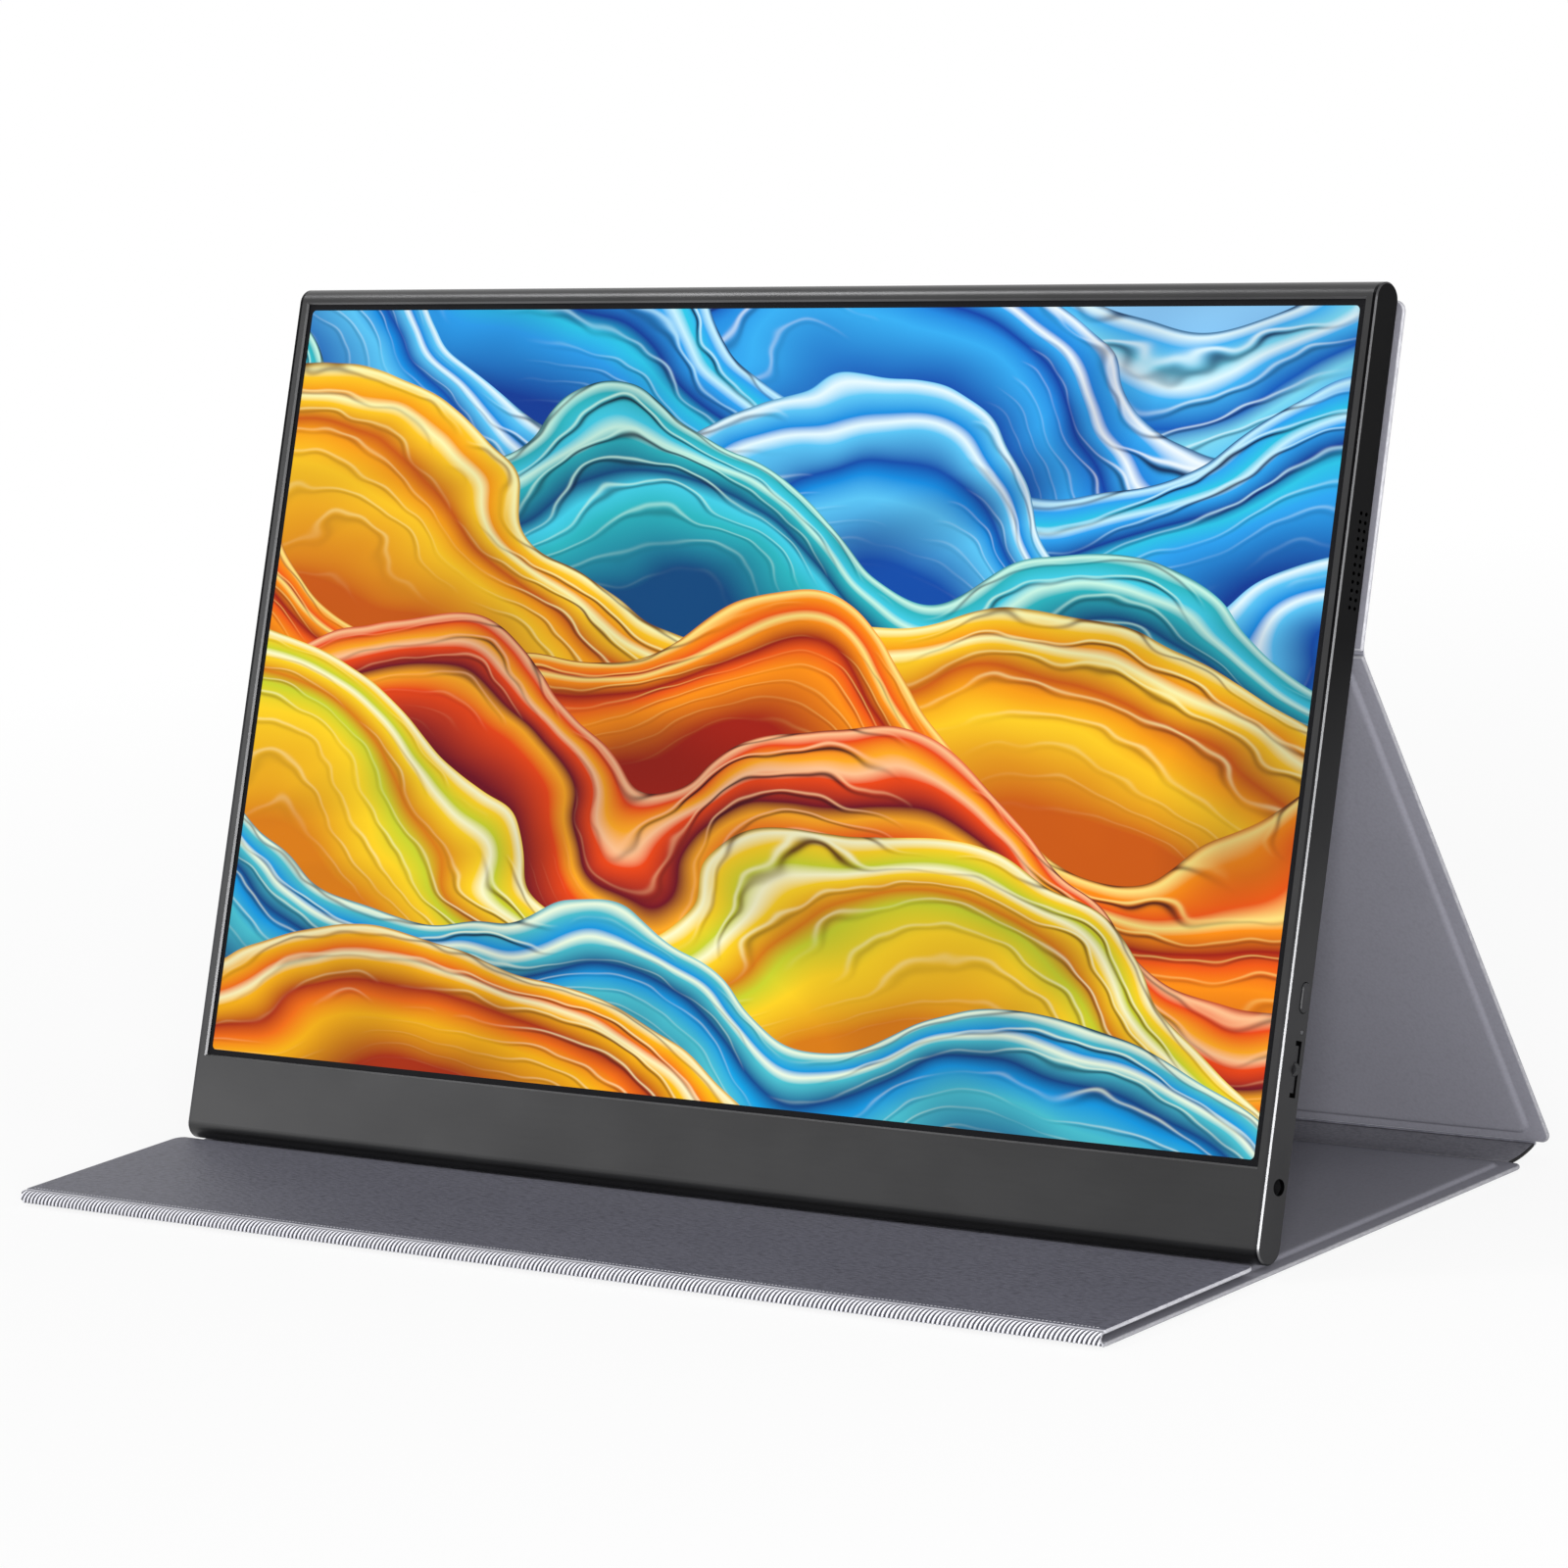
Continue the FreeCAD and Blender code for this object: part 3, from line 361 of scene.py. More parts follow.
turns = {
    "spine": slope(foot - rear),
    "leg": slope(hinge - foot) + math.degrees(math.asin(tent["axisDepth"] / (hinge - foot).length)),
    "upper": 90 - tent["lean"],
}
inward, downward = heading(-tent["lean"])  # through the monitor to its back, and down its front
lowCorner = hinge - inward * tent["hingeDepth"] + downward * tent["hingeHeight"]
stand = {
    "base": carrier(0, Vector((0, 0))),
    "flap": carrier(180, front),
    "spine": carrier(turns["spine"], rear),
    "leg": carrier(turns["leg"], foot + heading(turns["leg"])[1] * tent["axisDepth"]),
    "upper": carrier(turns["upper"], hinge),
    "screen": carrier(-tent["lean"], lowCorner),
}


def newPiece(name, points, faces, finishes, slots=None):
    mesh = bpy.data.meshes.new(name)
    mesh.from_pydata(points, [], faces)
    for item in finishes:
        mesh.materials.append(finish[item])
    for polygon in mesh.polygons:
        polygon.use_smooth = True
        if slots:
            polygon.material_index = slots[polygon.index]
    piece = bpy.data.objects.new(name, mesh)
    bpy.context.scene.collection.objects.link(piece)
    return piece


# Cover panels: closed loops of a rounded outline, from the outer face round the edge to the raised pad
panels = {
    # base and leg take the darker copy of the edge paint, painted shade
    "base": {"low": front.x + 0.1, "high": rear.x - 0.15, "corners": (0.6, 2.8), "pad": (1.5, 1.5),
             "body": "base", "edge": "greyEdge"},
    "flap": {"low": -53.0, "high": -0.1, "corners": (2.8, 0.6), "pad": (4.1, 1.5),
             "body": "flap", "edge": "edge"},
    "leg": {"low": 0.6, "high": 137.6, "corners": (2.8, 0.6), "pad": (2.2, 1.5),
            "body": "leg", "edge": "greyEdge"},
    "upper": {"low": 0.4, "high": 80.5, "corners": (0.6, 2.8), "pad": (1.5, 4.1),
              "body": "display", "edge": "edge"},
}
panelForm = {
    "half": 178.0, "leastCorner": 0.12, "sidePad": 4.1, "padCorner": 4.2, "leastPadCorner": 0.4,
    "cornerSteps": 9,
    # inset from the outline and height above the outer face, then the finish of the ring that follows:
    # 0 for the outer leather, 1 for the cut edge, 2 for the inner leather
    "rim": [(2.0, 0.0, 0), (0.45, 0.0, 0), (0.22, 0.06, 1), (0.06, 0.22, 1), (0.0, 0.42, 1), (0.0, 0.58, 1),
            (0.06, 0.78, 1), (0.22, 0.94, 1), (0.45, 1.0, 2)],
    # the same for the pad, with the inset counted from the pad's foot
    "rise": [(0.0, 1.0, 2), (0.25, 1.03, 2), (0.55, 1.16, 2), (0.8, 1.36, 2), (1.05, 1.56, 2),
             (1.35, 1.70, 2), (1.75, 1.78, 2), (2.4, 1.8, 2), (5.0, 1.8, 2)],
}


def roundedLoop(half, low, high, radii):  # anticlockwise, the same number of points whatever the size
    steps = panelForm["cornerSteps"]
    loop = []
    for x, y, radius, start in ((half, high, radii[1], 0), (-half, high, radii[1], 90),
                                (-half, low, radii[0], 180), (half, low, radii[0], 270)):
        middleX = x - math.copysign(radius, x)
        middleY = y - radius if start < 180 else y + radius
        for step in range(steps + 1):
            angle = math.radians(start + 90 * step / steps)
            loop.append((middleX + radius * math.cos(angle), middleY + radius * math.sin(angle)))
    return loop


def coverPanel(name, form):
    half = panelForm["half"]
    rings = []
    for inset, height, kind in panelForm["rim"]:
        radii = [max(radius - inset, panelForm["leastCorner"]) for radius in form["corners"]]
        loop = roundedLoop(half - inset, form["low"] + inset, form["high"] - inset, radii)
        rings.append((loop, height, kind))
    for inset, height, kind in panelForm["rise"]:
        radii = [max(panelForm["padCorner"] - inset, panelForm["leastPadCorner"])] * 2
        low = form["low"] + form["pad"][0] + inset
        high = form["high"] - form["pad"][1] - inset
        loop = roundedLoop(half - panelForm["sidePad"] - inset, low, high, radii)
        rings.append((loop, height, kind))
    points = [(x * mm, y * mm, height * mm) for loop, height, kind in rings for x, y in loop]
    kinds = [kind for loop, height, kind in rings]
    count = len(points) // len(rings)
    faces = [list(range(count - 1, -1, -1))]
    slots = [kinds[0]]
    for ring in range(len(rings) - 1):
        first = ring * count
        for here in range(count):
            there = (here + 1) % count
            faces.append([first + here, first + there, first + count + there, first + count + here])
            slots.append(kinds[ring])
    faces.append(list(range(len(points) - count, len(points))))
    slots.append(kinds[-1])
    piece = newPiece(name + "Panel", points, faces, ["outside", form["edge"], "inside"], slots)
    piece.matrix_world = stand[name]
    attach(piece, form["body"])
    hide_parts(name + "_skin", name + "_board", name + "_lining")
    return piece


cover = {name: coverPanel(name, form) for name, form in panels.items()}
print("cover panels:", len(cover))


def extruded(name, section, half, finishes):
    # a closed section in Y and Z, drawn out along X between two ends in the second finish
    count = len(section)
    points = [(x * mm, y * mm, z * mm) for x in (-half, half) for y, z in section]
    faces = []
    for here in range(count):
        there = (here + 1) % count
        faces.append([here, count + here, count + there, there])
    faces.append(list(range(count)))
    faces.append(list(range(2 * count - 1, count - 1, -1)))
    return newPiece(name, points, faces, finishes, [0] * count + [1, 1])


# Bowed spine strip between base and leg, thinner at its two edges
spineForm = {"near": 0.15, "far": 10.9, "bow": 0.5, "thickness": 0.9, "half": 173.0, "samples": 14,
             "taper": 0.5, "taperPower": 12}
spineHalf = (spineForm["far"] - spineForm["near"]) / 2


def spineStrip():
    form = spineForm
    upper = []
    lower = []
    for step in range(form["samples"] + 1):
        share = 2 * step / form["samples"] - 1
        y = form["near"] + spineHalf * (1 + share)
        z = -form["bow"] * (1 - share * share)
        thick = 0.5 * form["thickness"] * (1 - form["taper"] * abs(share) ** form["taperPower"])
        upper.append((y, z + thick))
        lower.append((y, z - thick))
    # the spine finish is darkened leather, painted shade of the crease
    piece = extruded("spineStrip", upper + lower[::-1], form["half"], ["spine", "black"])
    piece.matrix_world = stand["spine"]
    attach(piece, "spine")
    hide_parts("spine_strip")
    return piece


cover["spine"] = spineStrip()

# Skin that runs on round each rear crease
spineEnd = turns["spine"] + math.degrees(math.atan(2 * spineForm["bow"] / spineHalf))
creases = {
    "rearCrease": {"bodies": ("base", "spine"), "pivot": rear, "turns": (0.0, turns["spine"]),
                   "radius": 0.49, "reach": (0.7, 0.7)},
    "footCrease": {"bodies": ("spine", "leg"), "pivot": foot, "turns": (spineEnd, turns["leg"]),
                   "radius": 0.52, "reach": (1.1, 1.3)},
}
creaseForm = {"thickness": 0.3, "half": 172.8, "steps": 8, "blendShare": 0.6}


def creaseSkin(name, form):
    pivot = form["pivot"]
    first, last = form["turns"]
    before, after = form["reach"]
    steps = creaseForm["steps"]
    stops = [(first, -before), (first, -before / 2)]
    stops += [(first + (last - first) * step / steps, 0) for step in range(steps + 1)]
    stops += [(last, after / 2), (last, after)]
    outer = []
    inner = []
    for angle, distance in stops:
        along, out = heading(angle)
        outer.append(tuple(pivot + along * distance + out * form["radius"]))
        inner.append(tuple(pivot + along * distance + out * (form["radius"] - creaseForm["thickness"])))
    piece = extruded(name, inner + outer[::-1], creaseForm["half"], ["outside", "edge"])
    start = (pivot - heading(first)[0] * before * creaseForm["blendShare"]) * mm
    end = (pivot + heading(last)[0] * after * creaseForm["blendShare"]) * mm
    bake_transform(piece)
    return piece


strips = {name: creaseSkin(name, form) for name, form in creases.items()}

# Soft inside corner where the leg folds away from the panel on the back
backForm = {"reach": 2.4, "half": 177.7, "proud": 0.03, "thickness": 0.28, "steps": 12}


def backCrease():
    low = hinge - heading(turns["leg"])[0] * backForm["reach"]
    high = hinge + heading(turns["upper"])[0] * backForm["reach"]
    outer = []
    inner = []
    for step in range(backForm["steps"] + 1):
        share = step / backForm["steps"]
        spot = low * (1 - share) ** 2 + hinge * (2 * share * (1 - share)) + high * share ** 2
        out = heading(turns["leg"] + (turns["upper"] - turns["leg"]) * share)[1]
        outer.append(tuple(spot + out * backForm["proud"]))
        inner.append(tuple(spot + out * (backForm["proud"] - backForm["thickness"])))
    piece = extruded("backCrease", inner + outer[::-1], backForm["half"], ["outside", "edge"])
    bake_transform(piece)
    return piece


strips["backCrease"] = backCrease()
print("crease skins:", len(strips))

# Rolled front band with slanting ribs, which fade out towards its two edges
bandForm = {
    "half": 178.0, "gap": 0.1, "radius": 1.56, "tall": 1.03, "wall": 0.5, "rows": 18, "stepsPerRib": 8,
    "rib": 0.42, "dip": 0.12, "roundness": 0.75, "pitch": 1.37, "slant": 3.0,
    "fade": 12.0, "fadeStart": 0.5,
    # groove, flank and crest colours follow rib height: painted shade in the grooves, a painted highlight
    # on the crests
    "grooveShade": (0.018, 0.018, 0.023), "flank": (0.15, 0.15, 0.175), "crest": (0.74, 0.74, 0.79),
    "stops": (0.18, 0.58, 0.95), "edgeTone": 0.3, "fibre": (0.35, 0.35, 0.35), "fibreTone": 0.25,
    "roughness": 0.55, "crestGloss": 0.12, "fibreGloss": 0.2, "depth": 0.03, "shine": 0.25,
}


def bandPaint():
    form = bandForm
    paint = newPaint("coverBand")
    place = paint.node("ShaderNodeTexCoord", {}, {}, "UV")
    count = paint.node("ShaderNodeSeparateXYZ", {}, {"Vector": place})
    middle = form["fade"] / 2
    across = (middle - (count.beside("Y") * form["fade"] - middle).size()).held()  # V runs across the band
    ribs = (count * math.pi).sine().size()  # U counts the ribs
    # rib height is the mask for the painted groove shade and crest highlight; the flat edges take a mid
    # tone
    crest = ribs * across + form["edgeTone"] * (1.0 - across)
    fibre = paint.noise(form["fibre"], 3.0)
    tones = zip(form["stops"], (form["grooveShade"], form["flank"], form["crest"]))
    return paint.finish(
        Base_Color=paint.ramp(crest + fibre.swung(form["fibreTone"]), tones),
        Roughness=form["roughness"] - crest * form["crestGloss"] + fibre.swung(form["fibreGloss"]),
        Normal=paint.bump(fibre, form["depth"]), Specular_IOR_Level=form["shine"])


finish["band"] = bandPaint()


def frontBand():
    form = bandForm
    edge = front.x - form["gap"]
    middle = front.y / 2
    ribs = round(2 * form["half"] / form["pitch"])
    columns = ribs * form["stepsPerRib"]
    rows = form["rows"]
    wide = rows + 1
    points = []
    counts = []

    def addRow(x, radii, ribCounts):
        for row, (radius, count) in enumerate(zip(radii, ribCounts)):
            angle = math.pi * (row / rows - 0.5)
            y = edge - radius * math.cos(angle)
            z = middle + radius * math.sin(angle) * form["tall"]
            points.append((x * mm, y * mm, z * mm))
            counts.append((count, row / rows))

    ramps = [form["fade"] * row / rows - form["fadeStart"] for row in range(wide)]
    fades = [max(0.0, min(1.0, up, down)) for up, down in zip(ramps, ramps[::-1])]
    for column in range(columns + 1):
        ribCounts = [column / form["stepsPerRib"] - form["slant"] * row / rows for row in range(wide)]
        swells = [(form["rib"] * abs(math.sin(math.pi * count)) ** form["roundness"] - form["dip"]) * fade
                  for count, fade in zip(ribCounts, fades)]
        radii = [form["radius"] + swell for swell in swells]
        addRow((2 * column / columns - 1) * form["half"], radii, ribCounts)
    inside = len(points)
    for x in (-form["half"], form["half"]):
        addRow(x, [form["radius"] - form["wall"]] * wide, [0.5] * wide)
    faces = []
    slots = []
    for column in range(columns):
        for row in range(rows):
            here = column * wide + row
            faces.append([here, here + wide, here + wide + 1, here + 1])
            slots.append(0)
    last = columns * wide
    for row in range(rows):
        left = inside + row
        right = left + wide
        faces += [[left, left + 1, right + 1, right], [row, row + 1, left + 1, left],
                  [last + row, right, right + 1, last + row + 1]]
        slots += [1, 2, 2]
    piece = newPiece("frontBand", points, faces, ["band", "inside", "edge"], slots)
    layer = piece.data.uv_layers.new(name="ribs")
    for loop in piece.data.loops:
        layer.data[loop.index].uv = counts[loop.vertex_index]
    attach(piece, "band")
    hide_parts("front_band")
    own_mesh(piece)
    return piece


cover["band"] = frontBand()

# Row of small stitches along the flap's front edge
stitchForm = {
    "pitch": 1.12, "length": 0.72, "width": 0.26, "height": 0.14,
    "inset": 1.25, "slant": 0.12, "margin": 2.0,
    # place along a stitch, with its width and height there; then place across it, with the height there
    "stations": [(-0.5, 0.3, 0.0), (-0.3, 1.0, 0.75), (0.0, 1.0, 1.0), (0.3, 1.0, 0.75), (0.5, 0.3, 0.0)],
    "sides": [(-0.5, 0.0), (-0.25, 0.75), (0.25, 0.75), (0.5, 0.0)],
}


def flapStitches():
    form = stitchForm
    half = panelForm["half"] - form["margin"]
    wide = len(form["sides"])
    points = []
    faces = []
    for number in range(int(2 * half / form["pitch"])):
        x = -half + form["pitch"] * (number + 0.5)
        first = len(points)
        for along, width, height in form["stations"]:
            middle = front.x + form["inset"] + along * form["slant"]
            for side, rise in form["sides"]:
                y = middle + side * form["width"] * width
                z = front.y + form["height"] * height * rise
                points.append(((x + along * form["length"]) * mm, y * mm, z * mm))
        for step in range(len(form["stations"]) - 1):
            for side in range(wide - 1):
                here = first + wide * step + side
                faces.append([here, here + wide, here + wide + 1, here + 1])
    piece = newPiece("flapStitches", points, faces, ["edge"])
    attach(piece, "flap")
    return piece


strips["flapStitches"] = flapStitches()
print("front band and stitches done")

# Carried-over solids and their finishes
wear = {
    "housing": ["front_frame", "rear_cover"],
    "side": ["right_side_plate", "left_side_plate"],
    "glass": ["lcd_cell"],
    "film": ["diffuser_sheets", "light_guide", "reflector_sheet", "led_strip"],
    "sheet": ["panel_tray", "holding_plate", "board_screws", "flap_magnets", "upper_magnets"],
    "circuit": ["main_board", "key_board"],
    "ribbon": ["display_ribbon"],
    "shell": ["usb_socket_lower", "usb_socket_upper", "hdmi_socket"],
    "black": ["headphone_jack", "power_switch", "menu_switch", "menu_carrier",
              "speaker_right", "speaker_left"],
    "key": ["power_button", "menu_lever"],
    "lens": ["status_lens"],
}
for key, names in wear.items():
    for name in names:
        nodes[name].data.materials.clear()
        nodes[name].data.materials.append(finish[key])

# Polished bevels, picked by their slant: the side plates' rim, and the edge above and below the window.
# Outside the heights, in millimetres up the screen, slanted faces are the frame's rounded ends.
bevelForm = {"rim": (0.5, 0.9), "slant": (0.65, 0.76), "sideways": 0.3, "heights": (10.0, 218.6)}
frontWay = stand["screen"].to_3x3() @ Vector((0, -1, 0))


def within(value, ends):
    return ends[0] < value < ends[1]


def onRim(polygon):
    return within(abs(polygon.normal.x), bevelForm["rim"])


def onWindow(polygon):
    height = (stand["screen"].inverted() @ polygon.center).z / mm
    level = abs(polygon.normal.x) < bevelForm["sideways"]
    facing = within(polygon.normal.dot(frontWay), bevelForm["slant"])
    return level and facing and within(height, bevelForm["heights"])


def polish(name, key, picked):  # a second finish for the picked faces
    nodes[name].data.materials.append(finish[key])
    for polygon in nodes[name].data.polygons:
        if picked(polygon):
            polygon.material_index = 1


for name in wear["side"]:
    polish(name, "bevel", onRim)
polish("front_frame", "window", onWindow)
print("housing dressed:", sum(len(names) for names in wear.values()), "nodes")

# The lit picture: folded silk in long waves, cool colours above and warm ones below
picture = {
    "width": 344.2, "height": 193.6, "bottom": 23.0, "depth": 0.66, "corner": 1.2,
    "glass": (0.004, 0.004, 0.005), "roughness": 0.45, "shine": 0.03,
    "sky": [(0.0, (0.30, 0.66, 0.97)), (0.5, (0.01, 0.24, 0.78)), (1.0, (0.0, 0.03, 0.25))],
    "skyTop": 1.25, "ratio": 1.78, "tilt": 0.34,
    "drift": {"Scale": 2.3, "Detail": 2.5, "Roughness": 0.42}, "pull": (0.7, 0.5),
    # height at the middle, swing, waves, phase, spread, then rim, body, second body and deep colours
    "waves": [
        ((1.26, 0.10, 1.5, 3.9, 0.28),
         (0.75, 0.95, 1.00), (0.05, 0.46, 0.92), (0.20, 0.70, 0.90), (0.00, 0.10, 0.50)),
        ((1.13, 0.12, 1.9, 1.2, 0.26),
         (0.90, 0.98, 1.00), (0.03, 0.40, 0.90), (0.01, 0.24, 0.74), (0.00, 0.05, 0.38)),
        ((1.00, 0.11, 1.2, 0.4, 0.30),
         (0.55, 0.88, 1.00), (0.02, 0.36, 0.88), (0.02, 0.55, 0.80), (0.00, 0.04, 0.30)),
        ((0.88, 0.12, 1.7, 2.0, 0.27),
         (0.80, 0.96, 1.00), (0.10, 0.56, 0.92), (0.00, 0.26, 0.75), (0.00, 0.07, 0.40)),
        ((0.77, 0.09, 2.2, 3.6, 0.23),
         (0.60, 0.95, 0.80), (0.02, 0.46, 0.52), (0.05, 0.62, 0.80), (0.00, 0.06, 0.20)),
        ((0.66, 0.11, 1.5, 0.9, 0.25),
         (1.00, 0.96, 0.45), (1.00, 0.58, 0.01), (0.95, 0.34, 0.00), (0.60, 0.10, 0.00)),
        ((0.53, 0.10, 1.9, 2.6, 0.23),
         (1.00, 0.78, 0.22), (1.00, 0.28, 0.00), (0.90, 0.10, 0.00), (0.36, 0.01, 0.00)),
        ((0.42, 0.08, 2.5, 5.0, 0.21),
         (1.00, 0.55, 0.28), (0.85, 0.06, 0.00), (1.00, 0.40, 0.01), (0.16, 0.00, 0.01)),
        ((0.31, 0.09, 1.6, 1.4, 0.25),
         (1.00, 0.98, 0.60), (1.00, 0.66, 0.01), (0.60, 0.66, 0.02), (0.70, 0.20, 0.00)),
        ((0.18, 0.08, 2.1, 3.4, 0.22),
         (0.85, 0.97, 0.75), (0.06, 0.50, 0.60), (0.00, 0.30, 0.72), (0.00, 0.05, 0.22)),
        ((0.05, 0.07, 1.4, 5.6, 0.24),
         (1.00, 0.92, 0.50), (1.00, 0.48, 0.00), (0.92, 0.16, 0.00), (0.45, 0.03, 0.00)),
    ],
    # colours down a wave, from its upper line to its foot
    "folds": [(0.0, "body"), (0.028, "rim"), (0.075, "body"), (0.16, "second"), (0.205, "rim"),
              (0.25, "body"), (0.38, "deep"), (0.47, "second"), (0.62, "body"), (1.0, "deep")],
    # drawn threads and glints, and the line along a wave's top; pairs are rate and start of a straight line
    "threads": {"Scale": 4.0, "Detail": 3.0, "Roughness": 0.5}, "strands": 46.0, "wander": 36.0,
    "threadEdge": 14.0, "glintEdge": 32.0, "fade": (-1.1, 1.15), "patches": (5.0, -2.0),
    "line": (-50.0, 1.0), "linePatches": (6.0, -2.3), "top": 240.0,
    "ink": 0.16, "threadShare": 0.95, "glintShare": 0.9, "lineShare": 0.95,
    "gloss": {"Scale": 3.1, "Detail": 1.0, "Distortion": 0.8}, "sheen": (5.0, -3.0), "sheenShare": 0.35,
    "shadow": [(0.3, (0.66, 0.64, 0.70)), (0.5, (1.0, 1.0, 1.0))],
}


def picturePaint():
    form = picture
    paint = newPaint("screenPicture")
    place = paint.node("ShaderNodeTexCoord", {}, {}, "UV")
    across = paint.node("ShaderNodeSeparateXYZ", {}, {"Vector": place})
    drift, threads, gloss = (paint.node("ShaderNodeTexNoise", {}, {"Vector": place} | form[name])
                             for name in ("drift", "threads", "gloss"))
    pull = paint.node("ShaderNodeSeparateColor", {}, {"Color": drift.beside("Color")})
    x = across * form["ratio"] + pull.swung(form["pull"][0])
    y = across.beside("Y") + pull.beside("Green").swung(form["pull"][1]) + across.swung(form["tilt"])
    colour = paint.ramp(form["skyTop"] - y, form["sky"])
    for (height, swing, waves, phase, spread), *colours in form["waves"]:
        hue = dict(zip(("rim", "body", "second", "deep"), colours))
        ink = tuple(form["ink"] * part for part in hue["deep"])
        crest = (x * (waves * math.pi) + phase).sine() * swing + height
        depth = (crest - y) / spread
        shade = paint.ramp(depth, [(stop, hue[kind]) for stop, kind in form["folds"]])
        strand = depth * form["strands"] + threads * form["wander"]
        thread = (strand.sine() * 0.5 + 0.5) ** form["threadEdge"]
        glint = ((strand + 1.0).sine() * 0.5 + 0.5) ** form["glintEdge"]
        fade = depth.graded(*form["fade"]) * threads.graded(*form["patches"])
        line = depth.graded(*form["line"]) * threads.graded(*form["linePatches"])
        inked = paint.blend(thread * fade * form["threadShare"], shade, ink)
        lit = paint.blend(glint * fade * form["glintShare"], inked, hue["rim"])
        drawn = paint.blend(line * form["lineShare"], lit, ink)
        colour = paint.blend((depth * form["top"]).held(), colour, drawn)
    colour = paint.blend(1.0, colour, paint.ramp(gloss, form["shadow"]), "MULTIPLY")
    sheen = gloss.graded(*form["sheen"]) * form["sheenShare"]
    colour = paint.blend(sheen, colour, (1.0, 1.0, 1.0), "SOFT_LIGHT")
    return paint.finish(
        Base_Color=form["glass"], Roughness=form["roughness"], Specular_IOR_Level=form["shine"],
        Emission_Color=colour, Emission_Strength=1.0)


finish["picture"] = picturePaint()


def screenPicture():
    form = picture
    half = form["width"] / 2
    low = form["bottom"]
    loop = roundedLoop(half, low, low + form["height"], (form["corner"], form["corner"]))
    points = [(x * mm, form["depth"] * mm, z * mm) for x, z in loop]
    piece = newPiece("screenPicture", points, [list(range(len(points)))], ["picture"])
    layer = piece.data.uv_layers.new(name="picture")
    for corner in piece.data.loops:
        x, z = loop[corner.vertex_index]
        layer.data[corner.index].uv = ((x + half) / form["width"], (z - low) / form["height"])
    piece.matrix_world = stand["screen"]
    piece.visible_diffuse = False  # its glow leaves the cover's colour alone
    piece.visible_glossy = False
    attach(piece, "display")


screenPicture()
print("screen picture:", len(picture["waves"]), "waves")


# Floor, lights and camera; floor and lamps in metres, the camera in millimetres and degrees
studio = {
    "floorSize": 40.0, "floorLevel": -0.0004, "floorColour": (0.88, 0.88, 0.88), "floorRoughness": 0.9,
    "paper": (3.0, 3.0, 3.0), "paperShade": 0.985, "paperStops": (0.3, 0.7),
    "floorGlow": 0.86, "shadeReach": (0.35, 0.9),  # distances over which the floor turns plain white
    "sky": 0.5,
    "lamps": [  # place, aim, width and height, watts
        ((-0.70, -0.44, 0.26), (0.0, 0.0, 0.09), (0.25, 0.40), 0.42),
        ((1.3, -1.25, 0.34), (0.05, 0.05, 0.07), (0.5, 0.5), 38.0),
        ((1.5, 0.3, 1.1), (0.0, 0.03, 0.08), (0.9, 0.9), 4.0),
        ((-0.81, -0.16, 1.06), (0.0, 0.06, 0.2), (0.25, 0.25), 2.7),
    ],
    "azimuth": 43.75, "elevation": 10.74, "roll": 6.61,
    "target": (25.78, 2.784, 100.47), "distance": 1580.6,
    "focal": 6794.0, "pixels": 1600,  # focal length in pixels, and the picture's width
    "sensor": 36.0, "clip": (0.01, 100.0),
}


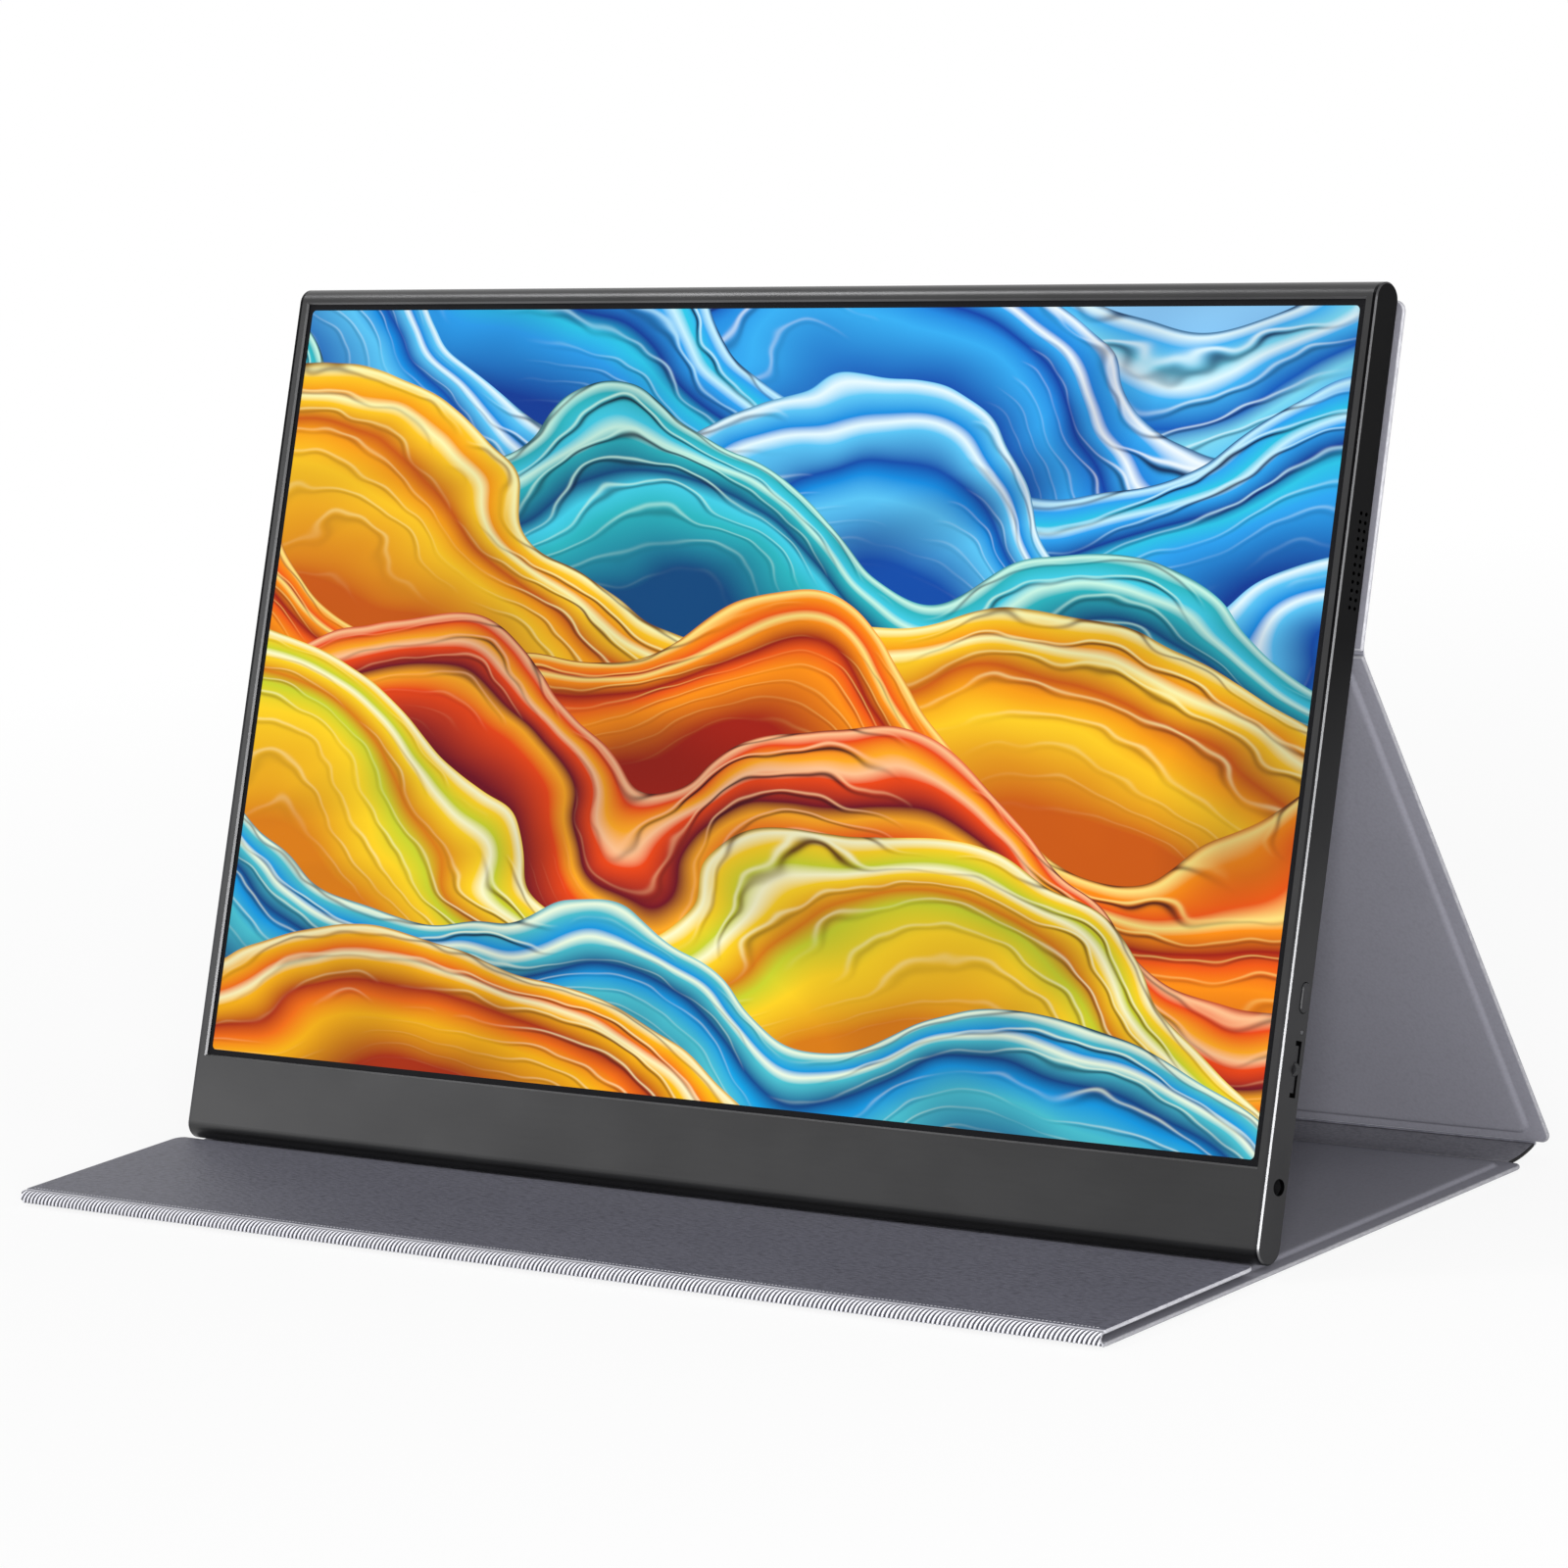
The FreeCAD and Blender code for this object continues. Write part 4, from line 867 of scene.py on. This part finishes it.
def makeFloor():
    size = studio["floorSize"] / 2
    level = studio["floorLevel"]
    mesh = bpy.data.meshes.new("floor")
    corners = [(x * size, y * size, level) for x, y in ((-1, -1), (1, -1), (1, 1), (-1, 1))]
    mesh.from_pydata(corners, [], [[0, 1, 2, 3]])
    paint = newPaint("floorPaper")
    shade = tuple(studio["paperShade"] * part for part in studio["floorColour"])
    paper = paint.noise(studio["paper"], 4.0)
    tone = paint.ramp(paper, zip(studio["paperStops"], (shade, studio["floorColour"])))
    mesh.materials.append(paint.finish(Base_Color=tone, Roughness=studio["floorRoughness"]))
    glow = paint.node("ShaderNodeEmission", {}, {"Color": (1.0, 1.0, 1.0)})
    lit = Wire(paint, paint.tree.nodes["Principled BSDF"].outputs["BSDF"])
    place = paint.node("ShaderNodeTexCoord", {}, {}, "Object")
    reach = paint.node("ShaderNodeVectorMath", {"operation": "LENGTH"}, {0: place}, "Value")
    plain = reach.between(*studio["shadeReach"]) * (1.0 - studio["floorGlow"]) + studio["floorGlow"]
    both = paint.node("ShaderNodeMixShader", {}, {0: paint.seen() * plain, 1: lit, 2: glow})
    paint.feed(paint.tree.nodes["Material Output"], {"Surface": both})
    floor = bpy.data.objects.new("floor", mesh)
    bpy.context.scene.collection.objects.link(floor)


def makeWorld():
    world = bpy.data.worlds.new("studio")
    paint = Paint(world)
    strength = paint.seen() * (1.0 - studio["sky"]) + studio["sky"]
    paint.feed(paint.tree.nodes["Background"], {"Color": (1.0, 1.0, 1.0), "Strength": strength})
    bpy.context.scene.world = world


def makeLamps():
    for number, (place, aim, size, watts) in enumerate(studio["lamps"]):
        data = bpy.data.lights.new(f"softbox{number}", "AREA")
        data.shape = "RECTANGLE"
        data.size, data.size_y = size
        data.energy = watts
        lamp = bpy.data.objects.new(f"softbox{number}", data)
        lamp.location = place
        lamp.rotation_mode = "QUATERNION"
        lamp.rotation_quaternion = (Vector(aim) - Vector(place)).to_track_quat("-Z", "Y")
        bpy.context.scene.collection.objects.link(lamp)


def makeCamera():
    turn, rise, roll = (math.radians(studio[name]) for name in ("azimuth", "elevation", "roll"))
    back = Vector((math.sin(turn) * math.cos(rise), -math.cos(turn) * math.cos(rise), math.sin(rise)))
    right = (-back).cross(Vector((0, 0, 1))).normalized()
    down = (-back).cross(right)
    level = right * math.cos(roll) + down * math.sin(roll)
    upward = right * math.sin(roll) - down * math.cos(roll)
    data = bpy.data.cameras.new("camera")
    data.sensor_width = studio["sensor"]
    data.lens = studio["focal"] / studio["pixels"] * data.sensor_width
    data.clip_start, data.clip_end = studio["clip"]
    camera = bpy.data.objects.new("camera", data)
    turned = Matrix((level, upward, back)).transposed().to_4x4()
    place = (Vector(studio["target"]) + back * studio["distance"]) * mm
    camera.matrix_world = Matrix.Translation(place) @ turned
    bpy.context.scene.collection.objects.link(camera)
    bpy.context.scene.camera = camera


makeFloor()
makeWorld()
makeLamps()
makeCamera()
bpy.context.scene.view_settings.view_transform = "Standard"
print("studio set")
